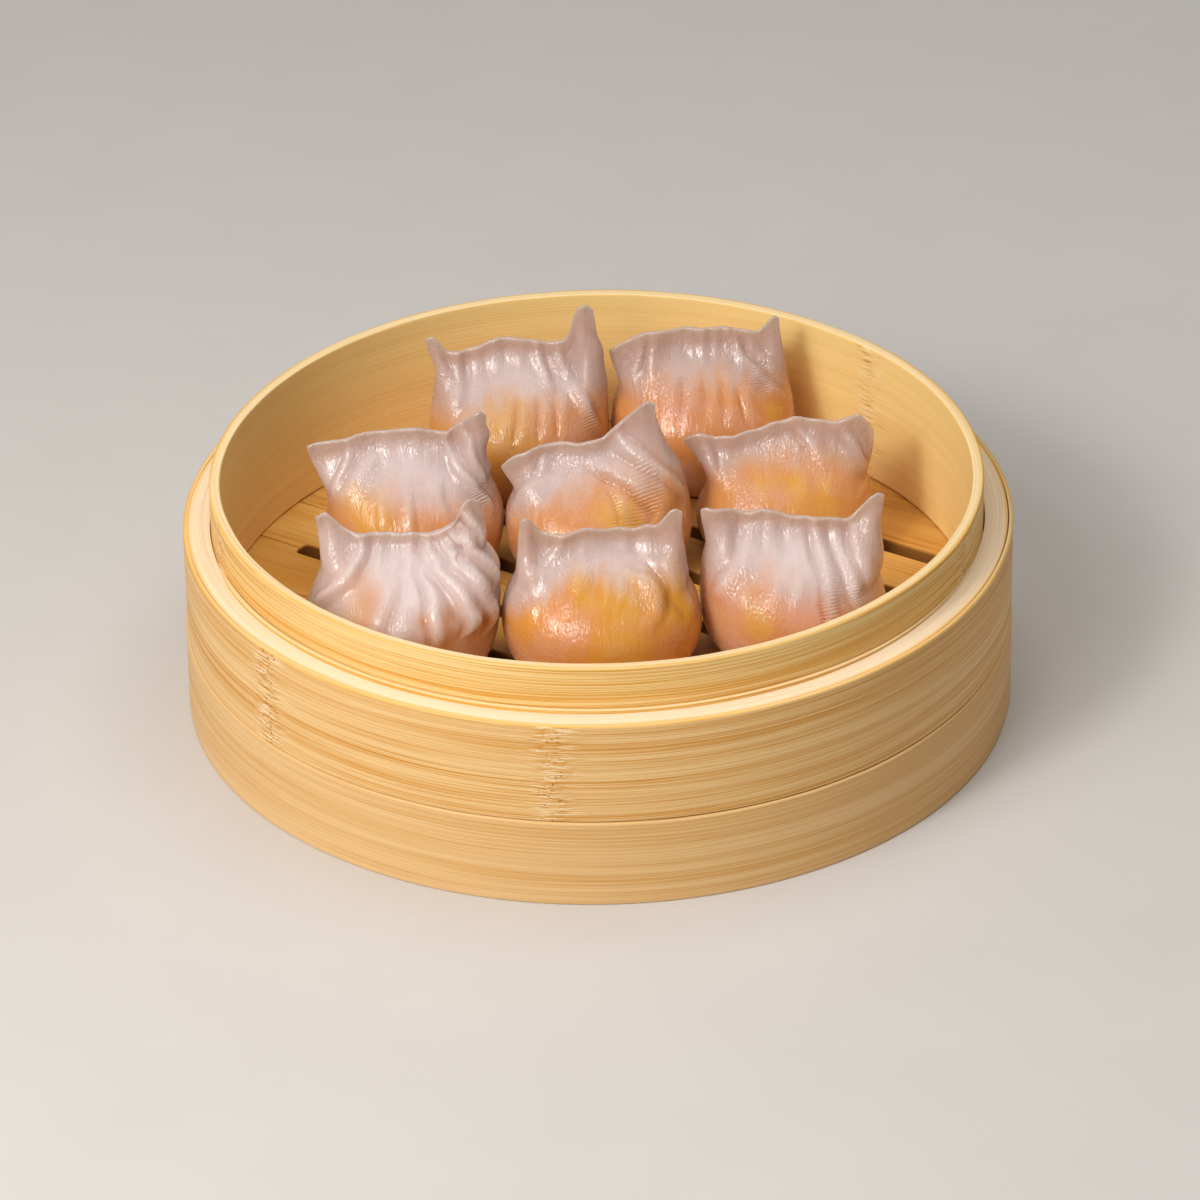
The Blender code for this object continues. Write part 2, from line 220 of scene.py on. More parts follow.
print("shader helpers ready")

# %% [markdown]
# ## Surfaces from grids
# Each new piece is worked out as a grid of points: one direction runs round the piece, the other
# along its section. Whole arrays are handed to the mesh at once, with the numbers that the materials
# read stored on the same points.


# %% Mesh helpers
def ease(t):
    """A smooth step from 0 to 1: three t squared less two t cubed."""
    t = np.clip(t, 0.0, 1.0)
    return t * t * (3.0 - 2.0 * t)


def add_piece(name, points, faces, material, values, nodes):
    """A smooth-shaded mesh at the origin that rides with the basket and stands for its CAD nodes."""
    mesh = bpy.data.meshes.new(name)
    mesh.from_pydata(points, [], faces)
    for key, numbers in values.items():
        layer = mesh.attributes.new(key, "FLOAT", "POINT")
        layer.data.foreach_set("value", np.ascontiguousarray(numbers, dtype=np.float32))
    mesh.shade_smooth()
    mesh.materials.append(material)
    piece = bpy.data.objects.new(name, mesh)
    bpy.context.scene.collection.objects.link(piece)
    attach(piece, "root")
    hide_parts(*nodes)
    return piece


def wrapped_quads(rows, columns, wrap_rows):
    """Quads of a grid that closes on itself from its last column to its first, and so too its rows."""
    row = np.arange(rows if wrap_rows else rows - 1)[:, None]
    column = np.arange(columns)[None, :]
    next_row = (row + 1) % rows
    next_column = (column + 1) % columns
    corners = [row * columns + column, row * columns + next_column]
    corners += [next_row * columns + next_column, next_row * columns + column]
    return np.stack(np.broadcast_arrays(*corners), axis=-1).reshape(-1, 4)


# %% [markdown]
# ## Bent bamboo
# A steamer's hoops are strips split from a bamboo stem, planed, steamed and bent until their ends
# lap. The grain runs along the strip, so it runs round the hoop, as fine pale and golden lines a
# millimetre or two apart that drift up and down. Where the stem had a joint, the fibres kink in a
# short zigzag. Turning a rounded section through a full circle gives the hoop, and small waves in
# its radius keep it from looking machined.

# %% Bamboo hoop surface
HOOP_STEPS = 448
SECTION_STEP = 0.55 * MM
GROOVE_SPACING = 1.5 * MM
GROOVE_DEPTH = 0.005 * MM
WAVE = 0.12 * MM


def rounded_section(inner, outer, bottom, top, round_edge):
    """The outline of a strip's cut end as (radius, height) points, with its four edges rounded.

    Each corner is a quarter circle about a centre set in by the edge's radius, and the straight runs
    between corners are divided into even steps.
    """
    corners = ((outer, top, 0.0), (inner, top, 90.0), (inner, bottom, 180.0), (outer, bottom, 270.0))
    outline = []
    for radius, height, start in corners:
        across = -1.0 if radius == outer else 1.0
        down = -1.0 if height == top else 1.0
        turn = np.radians(start + np.linspace(0.0, 90.0, 5))
        arc = np.stack([np.cos(turn), np.sin(turn)], axis=1) * round_edge
        outline.append(arc + (radius + across * round_edge, height + down * round_edge))
    runs = []
    for arc, following in zip(outline, outline[1:] + outline[:1]):
        length = float(np.linalg.norm(following[0] - arc[-1]))
        count = max(1, round(length / SECTION_STEP))
        share = (np.arange(1, count) / count)[:, None]
        runs += [arc, arc[-1] + share * (following[0] - arc[-1])]
    return np.concatenate(runs)


def slow_wave(turn, seed, waves=(2, 3, 5, 7)):
    """A smooth random wave round a circle, about 1 high: a few sines of whole numbers of turns."""
    draw = np.random.default_rng(seed)
    phases = draw.uniform(0.0, 2.0 * math.pi, len(waves))
    heights = draw.uniform(0.5, 1.0, len(waves)) / len(waves)
    return sum(h * np.sin(n * turn + p) for n, p, h in zip(waves, phases, heights)) * 1.6


def groove_lines(across, turn, seed, spacing):
    """Shallow lines along the grain: sines across the strip whose spacing drifts round the hoop."""
    draw = np.random.default_rng(seed)
    total = 0.0
    for k in range(5):
        wave = spacing * draw.uniform(0.7, 2.6)
        drift = slow_wave(turn, seed + 11 * k + 1) * draw.uniform(0.5, 1.6) * MM
        swell = 0.5 + 0.5 * slow_wave(turn, seed + 11 * k + 5, (1, 2, 3, 5))
        total = total + swell * np.sin(2.0 * math.pi * (across + drift) / wave + draw.uniform(0, 6.28))
    return total / 5.0


def section_facing(section):
    """Outward direction of a section at each of its points: the run between its neighbours, turned."""
    run = np.roll(section, -1, axis=0) - np.roll(section, 1, axis=0)
    facing = np.stack([run[:, 1], -run[:, 0]], axis=1)
    return facing / np.linalg.norm(facing, axis=1, keepdims=True)


def stem_joints(height, turn, angles):
    """How near each point is to a stem joint: a bell about each angle, its middle wandering with height."""
    near = np.zeros(np.broadcast_shapes(height.shape, turn.shape))
    for angle in angles:
        away = (turn - math.radians(angle) + math.pi) % (2.0 * math.pi) - math.pi
        wander = 0.010 * np.sin(height / MM * 1.7 + angle) + 0.006 * np.sin(height / MM * 0.61 + 1.0)
        near = near + np.exp(-(((away + wander) / 0.052) ** 2))
    return near


def add_hoop(name, walls, span, finish, seed, nodes, joints=(), edge=0.35):
    """A turned strip between two radii and two heights.

    Its radius and its top edge wave slowly, lines along the grain dent its sides, and joints are the
    angles, in degrees, where the stem's joints cross it.
    """
    (inner, outer), (bottom, top) = walls, span
    section = rounded_section(inner, outer, bottom, top, edge * MM)
    facing = section_facing(section)
    turn = 2.0 * math.pi * np.arange(HOOP_STEPS)[None, :] / HOOP_STEPS
    radius, height = section[:, :1], section[:, 1:]
    tall = ease((height - bottom) / (top - bottom))
    grain = height + radius + slow_wave(turn, seed + 9, (1, 2, 3)) * 0.7 * MM
    knot = stem_joints(height, turn, joints)
    plain = 1.0 - 0.7 * ease((-facing[:, :1] - 0.3) / 0.6)
    lines = groove_lines(grain, turn, seed + 3, GROOVE_SPACING) * GROOVE_DEPTH * plain
    out = slow_wave(turn, seed) * WAVE + (lines + knot * WAVE) * facing[:, :1]
    nicks = slow_wave(turn, seed + 7, (9, 14, 23, 37)) * 0.06 * MM
    high = height + tall * (slow_wave(turn, seed + 8) * WAVE + nicks)
    wide = radius + out
    points = np.stack([wide * np.cos(turn), wide * np.sin(turn), high], axis=-1).reshape(-1, 3)
    faces = wrapped_quads(len(section), HOOP_STEPS, True)[:, ::-1]
    flat = np.ones_like(turn)
    values = {
        "knot": knot,
        "grain": grain,
        "inside": ease((-facing[:, :1] - 0.3) / 0.6) * flat,
        "cut": ease((np.abs(facing[:, 1:]) - 0.4) / 0.5) * flat,
        "skin": ease((radius + slow_wave(turn, seed + 5, (5, 8, 13)) * 0.2 * MM - outer) / (0.8 * MM) + 1.2),
    }
    values = {key: np.ravel(field) for key, field in values.items()}
    piece = add_piece(name, points.tolist(), faces.tolist(), finish, values, nodes)
    print(name, len(faces) * 2, "triangles")
    return piece


# %% [markdown]
# ## Bamboo finish
# Split bamboo is a bundle of straight fibres in paler pith. On the strip's face they show as long
# hair-fine lines, golden on straw, and the colour drifts in broader bands. At a stem joint the fibres
# break into short dashes. The side that faced the stem's hollow is paler and plainer. A strip's cut
# edge is palest of all, but for the golden line of the outer skin.


# %% Bamboo materials
KNOT_DOT = srgb(146, 86, 30)
KNOT_FLECK = srgb(252, 234, 198)


def bamboo(name, tones, edge_tones, strength, offset, rough=0.5):
    """Bamboo whose grain runs round the hoop.

    tones are the outside's pale, main and golden colours and the inside's main one; edge_tones are
    those of the cut edge's pith and of its skin line. Strength is how dark the lines are.
    """
    recipe = Recipe(name)
    pale, main, deep, hollow = tones
    knot = recipe.attribute("knot")
    wobble = (recipe.noise(recipe.place(), 520.0, 1.0) - 0.5) * knot * (0.7 * MM)
    across = recipe.attribute("grain") + wobble
    flow = {0: recipe.axis(0), 1: recipe.axis(1), 2: across + offset}
    flow = recipe.node("ShaderNodeCombineXYZ", {}, flow)

    bands = recipe.grain(flow, (4.0, 4.0, 420.0))
    lines = recipe.grain(flow, (9.0, 9.0, 2700.0), 2.0, 0.6)
    hairs = recipe.grain(flow, (14.0, 14.0, 4400.0))
    dashes = recipe.grain(flow, (170.0, 170.0, 3600.0))

    outside = recipe.mix(recipe.ramp(bands, 0.35, 0.65), main, pale)
    golden = recipe.ramp(lines, 0.56, 0.62) * recipe.ramp(bands, 0.65, 0.35, 0.45, 0.9)
    outside = recipe.mix(golden * strength, outside, deep)
    outside = recipe.mix(recipe.ramp(hairs, 0.56, 0.61) * (0.85 * strength), outside, deep)
    outside = recipe.mix(recipe.ramp(hairs, 0.44, 0.39) * 0.85, outside, pale)
    outside = recipe.mix(recipe.ramp(dashes, 0.46, 0.38) * knot * 0.7, outside, KNOT_FLECK)
    outside = recipe.mix(recipe.ramp(dashes, 0.54, 0.6) * knot, outside, deep)
    dots = recipe.ramp(recipe.grain(flow, (1000.0, 1000.0, 2300.0)), 0.61, 0.68)
    outside = recipe.mix(dots * recipe.ramp(knot, 0.6, 0.95, 0.0, 0.8), outside, KNOT_DOT)

    inside = recipe.mix(recipe.ramp(bands, 0.35, 0.7) * 0.15, hollow, main)
    inside = recipe.mix(recipe.ramp(lines, 0.52, 0.75) * (0.14 * strength), inside, deep)
    inside = recipe.mix(recipe.ramp(dashes, 0.52, 0.62) * knot * 0.45, inside, deep)
    inside = recipe.mix(recipe.ramp(dashes, 0.46, 0.38) * knot * 0.7, inside, KNOT_FLECK)
    pits = recipe.ramp(dashes, 0.62, 0.7) * recipe.ramp(knot, 0.6, 1.0, 0.0, 0.6)
    inside = recipe.mix(pits, inside, KNOT_DOT)
    colour = recipe.mix(recipe.attribute("inside"), outside, inside)

    pith, rind = edge_tones
    edge = recipe.mix(recipe.ramp(hairs, 0.45, 0.8) * 0.4, pith, deep)
    edge = recipe.mix(recipe.attribute("skin"), edge, rind)
    colour = recipe.mix(recipe.attribute("cut"), colour, edge)

    relief = lines * 0.5 + hairs * 0.3 + dashes * knot * 0.15
    return recipe.finish(
        {"Specular IOR Level": 0.3},
        Base_Color=colour,
        Roughness=recipe.ramp(lines, 0.3, 0.8, rough - 0.08, rough + 0.12),
        Normal=recipe.bump(relief, 0.16 * MM),
    )


STRAW_EDGE = (srgb(252, 224, 172), srgb(236, 184, 92))
rim_bamboo = bamboo(
    "rim_bamboo",
    (srgb(240, 206, 140), srgb(226, 176, 96), srgb(212, 146, 30), srgb(252, 220, 146)),
    STRAW_EDGE, 1.0, 0.0,
)
band_bamboo = bamboo(
    "band_bamboo",
    (srgb(234, 196, 136), srgb(222, 172, 104), srgb(206, 140, 46), srgb(220, 174, 110)),
    STRAW_EDGE, 0.9, 0.031,
)
lower_bamboo = bamboo(
    "lower_bamboo",
    (srgb(231, 192, 136), srgb(221, 175, 112), srgb(206, 146, 62), srgb(214, 164, 96)),
    (srgb(240, 206, 150), srgb(232, 194, 132)), 0.55, 0.067,
)
pale_bamboo = bamboo(
    "pale_bamboo",
    (srgb(240, 214, 172), srgb(230, 198, 152), srgb(210, 160, 92), srgb(230, 198, 152)),
    (srgb(250, 230, 198), srgb(240, 190, 104)), 0.4, 0.093, 0.6,
)
print("bamboo finishes:", rim_bamboo.name, band_bamboo.name, lower_bamboo.name, pale_bamboo.name)


# %% Hoops
def ring_size(node):
    """Outer radius and span of heights of a turned CAD node, from its box."""
    low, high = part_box(node)
    return (high.x - low.x) / 2.0, (low.z, high.z)


RIM_WALL = 2.7 * MM
BAND_WALL = 1.05 * MM
CORE_INNER = 94.7 * MM
LOWER_INNER = 94.9 * MM
SHELF_INNER = 91.7 * MM

lower_out, lower_span = ring_size("lower_hoop")
add_hoop(
    "lower_band", (LOWER_INNER, lower_out), lower_span, lower_bamboo, 21,
    ["lower_hoop"], (100.0,), edge=0.5,
)
shelf_out, shelf_span = ring_size("floor_shelf")
add_hoop(
    "floor_ledge", (SHELF_INNER, shelf_out), shelf_span, lower_bamboo, 31, ["floor_shelf"]
)
core_out, core_span = ring_size("upper_hoop")
add_hoop(
    "upper_core", (CORE_INNER, core_out), core_span, pale_bamboo, 41, ["upper_hoop"],
    edge=0.25,
)
band_out, band_span = ring_size("upper_band")
add_hoop(
    "upper_skin", (band_out - BAND_WALL, band_out), band_span, band_bamboo, 51,
    ["upper_band"], (219.0, 263.5), edge=0.3,
)
rim_out, rim_span = ring_size("rim_hoop")
add_hoop(
    "rim_strip", (rim_out - RIM_WALL, rim_out), rim_span, rim_bamboo, 61,
    ["rim_hoop"], (196.0, 338.0, 41.0), edge=0.4,
)


# %% [markdown]
# ## Lap of the inner layer
# The inner layer of the wall is a second thin strip, and its end shows: it comes out as a wedge
# between the rim and the pale ledge at the left, and runs round the front a little above the ledge.


# %% Lap strip
LAP_FROM, LAP_TO = 194.0, 352.0
LAP_INNER = 94.5 * MM
LAP_THICK = 1.1 * MM


def add_lap(finish):
    """An open strip against the rim. Its thickness and its height above the ledge taper to both ends."""
    steps = 260
    share = np.linspace(0.0, 1.0, steps)[:, None]
    turn = np.radians(LAP_FROM + (LAP_TO - LAP_FROM) * share)
    taper = ease(share / 0.05) * ease((1.0 - share) / 0.35)
    section = rounded_section(0.0, LAP_THICK, -0.2 * MM, 0.9 * MM, 0.2 * MM)
    thick = LAP_INNER + section[:, 0] * (0.15 + 0.85 * taper)
    high = core_span[1] + section[:, 1] * (0.25 + 0.75 * taper)
    high = high + slow_wave(turn, 77, (3, 7, 11)) * 0.08 * MM
    points = np.stack([thick * np.cos(turn), thick * np.sin(turn), high], axis=-1).reshape(-1, 3)
    count = len(section)
    row = np.arange(steps - 1)[:, None] * count
    here, beside = np.arange(count)[None, :], (np.arange(count)[None, :] + 1) % count
    quads = np.stack([row + here, row + count + here, row + count + beside, row + beside], axis=-1)
    ends = [list(range(count)), list(range(steps * count - 1, (steps - 1) * count - 1, -1))]
    facing = section_facing(section)
    flat = np.ones_like(share)
    values = {
        "knot": np.zeros(points.shape[0]),
        "grain": ((section[:, 0] + section[:, 1]) * flat).ravel(),
        "inside": np.zeros(points.shape[0]),
        "cut": (ease((np.abs(facing[:, 1]) - 0.4) / 0.5) * flat).ravel(),
        "skin": np.zeros(points.shape[0]),
    }
    faces = quads.reshape(-1, 4)[:, ::-1].tolist() + ends
    return add_piece("lap_strip", points.tolist(), faces, finish, values, ["upper_hoop"])


lap = add_lap(rim_bamboo)
print("lap strip faces:", len(lap.data.polygons))

# %% [markdown]
# ## Floor boards
# The floor is a row of narrow planed boards with long slots between them, where the steam comes
# through. Their CAD solids already have the right shape, so a copy of each gets its loose triangles
# joined and its edges broken by a small bevel, as a plane and a wipe of sandpaper leave them. The
# walls of the slots are painted dark as shade, and so are the boards between two dumplings, as painted shade.

# %% Floor boards
BOARD_TURN = math.radians(-33.0)
BOARD_BEVEL = 0.35 * MM
FLOOR_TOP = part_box("floor_board_01")[1].z
# Colour of the painted shade in the slot walls and between the dumplings.
SLOT_SHADE = srgb(116, 64, 26)
GAP_SHADE_EDGE = 34.0 * MM
GAP_SHADE_HEART = 18.0 * MM


def gap_shade(recipe):
    """How near the floor is to dumplings, for the painted shade between them: a soft disc about each one's
    middle, added together.
    """
    near = 0.0
    for node in sorted(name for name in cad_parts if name.startswith("dumpling")):
        low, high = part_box(node)
        middle = ((low.x + high.x) / 2.0, (low.y + high.y) / 2.0, FLOOR_TOP)
        inputs = {0: recipe.place(), 1: middle}
        away = recipe.node("ShaderNodeVectorMath", {"operation": "DISTANCE"}, inputs, 1)
        near = near + recipe.ramp(away, GAP_SHADE_EDGE, GAP_SHADE_HEART)
    return near


def floor_finish():
    """Bamboo whose grain runs straight along the boards: each board has its own streaks and tone, with
    painted shade in the slot walls and between dumplings.
    """
    recipe = Recipe("floor_bamboo")
    along = recipe.node("ShaderNodeMapping", {}, {0: recipe.place(), 2: (0.0, 0.0, -BOARD_TURN)})
    tone = recipe.attribute("tone")
    shifted = recipe.node("ShaderNodeCombineXYZ", {}, {0: tone * 7.0, 1: tone * 3.0, 2: tone * 5.0})
    flow = recipe.node("ShaderNodeVectorMath", {"operation": "ADD"}, {0: along, 1: shifted})
    broad = recipe.grain(flow, (10.0, 120.0, 120.0), 2.0, 0.6)
    lines = recipe.grain(flow, (22.0, 620.0, 400.0), 3.0, 0.65, 0.3)
    pale, main, deep = srgb(242, 194, 108), srgb(230, 170, 76), srgb(176, 104, 32)
    colour = recipe.mix(recipe.ramp(broad, 0.3, 0.7), main, pale)
    colour = recipe.mix(recipe.ramp(lines, 0.5, 0.78) * 0.7, colour, deep)
    colour = recipe.mix(recipe.ramp(tone, 0.0, 1.0, 0.0, 0.4), colour, deep)
    # Painted shade: the boards darken where dumplings stand close together and shadow falls between them.
    colour = recipe.mix(recipe.ramp(gap_shade(recipe), 0.7, 1.3, 0.0, 0.5), colour, SLOT_SHADE)
    # Painted shade: the slot walls below the floor's top are darkened.
    wall = recipe.ramp(recipe.axis(2), FLOOR_TOP - 0.3 * MM, FLOOR_TOP - 0.9 * MM, 0.0, 0.7)
    colour = recipe.mix(wall, colour, SLOT_SHADE)
    return recipe.finish(
        {"Specular IOR Level": 0.4},
        Base_Color=colour,
        Roughness=recipe.ramp(lines, 0.3, 0.8, 0.36, 0.55),
        Normal=recipe.bump(lines, 0.12 * MM),
    )


def add_board(node, material, tone):
    """A copy of a CAD board with its doubles merged and its edges bevelled."""
    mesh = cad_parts[node].data.copy()
    shape = bmesh.new()
    shape.from_mesh(mesh)
    bmesh.ops.remove_doubles(shape, verts=shape.verts, dist=0.01 * MM)
    bmesh.ops.dissolve_limit(shape, angle_limit=math.radians(2.0), verts=shape.verts, edges=shape.edges)
    shape.to_mesh(mesh)
    shape.free()
    mesh.name = node.replace("floor_board", "plank")
    mesh.materials.clear()
    mesh.materials.append(material)
    layer = mesh.attributes.new("tone", "FLOAT", "POINT")
    layer.data.foreach_set("value", np.full(len(mesh.vertices), tone, dtype=np.float32))
    mesh.shade_flat()
    plank = bpy.data.objects.new(mesh.name, mesh)
    bpy.context.scene.collection.objects.link(plank)
    bevel = plank.modifiers.new("edges", "BEVEL")
    bevel.width = BOARD_BEVEL
    bevel.segments = 2
    bevel.limit_method = "ANGLE"
    bevel.angle_limit = math.radians(35.0)
    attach(plank, "root")
    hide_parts(node)
    return plank


floor_bamboo = floor_finish()
board_names = sorted(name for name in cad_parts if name.startswith("floor_board"))
BOARD_TONES = (0.4, 0.2, 0.6, 0.3, 0.15, 0.25, 0.5, 0.7, 0.9, 0.8)
planks = [add_board(name, floor_bamboo, tone) for name, tone in zip(board_names, BOARD_TONES)]
print("planks:", len(planks))

# %% [markdown]
# ## Dumpling forms
# Har gow are folded by hand: a disc of dough is gathered over the filling into pleats along one side
# and pinched shut in a thin upright crest with an ear at each end. No two match, so each has its own
# set of numbers: the outlines of its sides and crest, where the filling shows and how strongly, and
# the path of each fold.

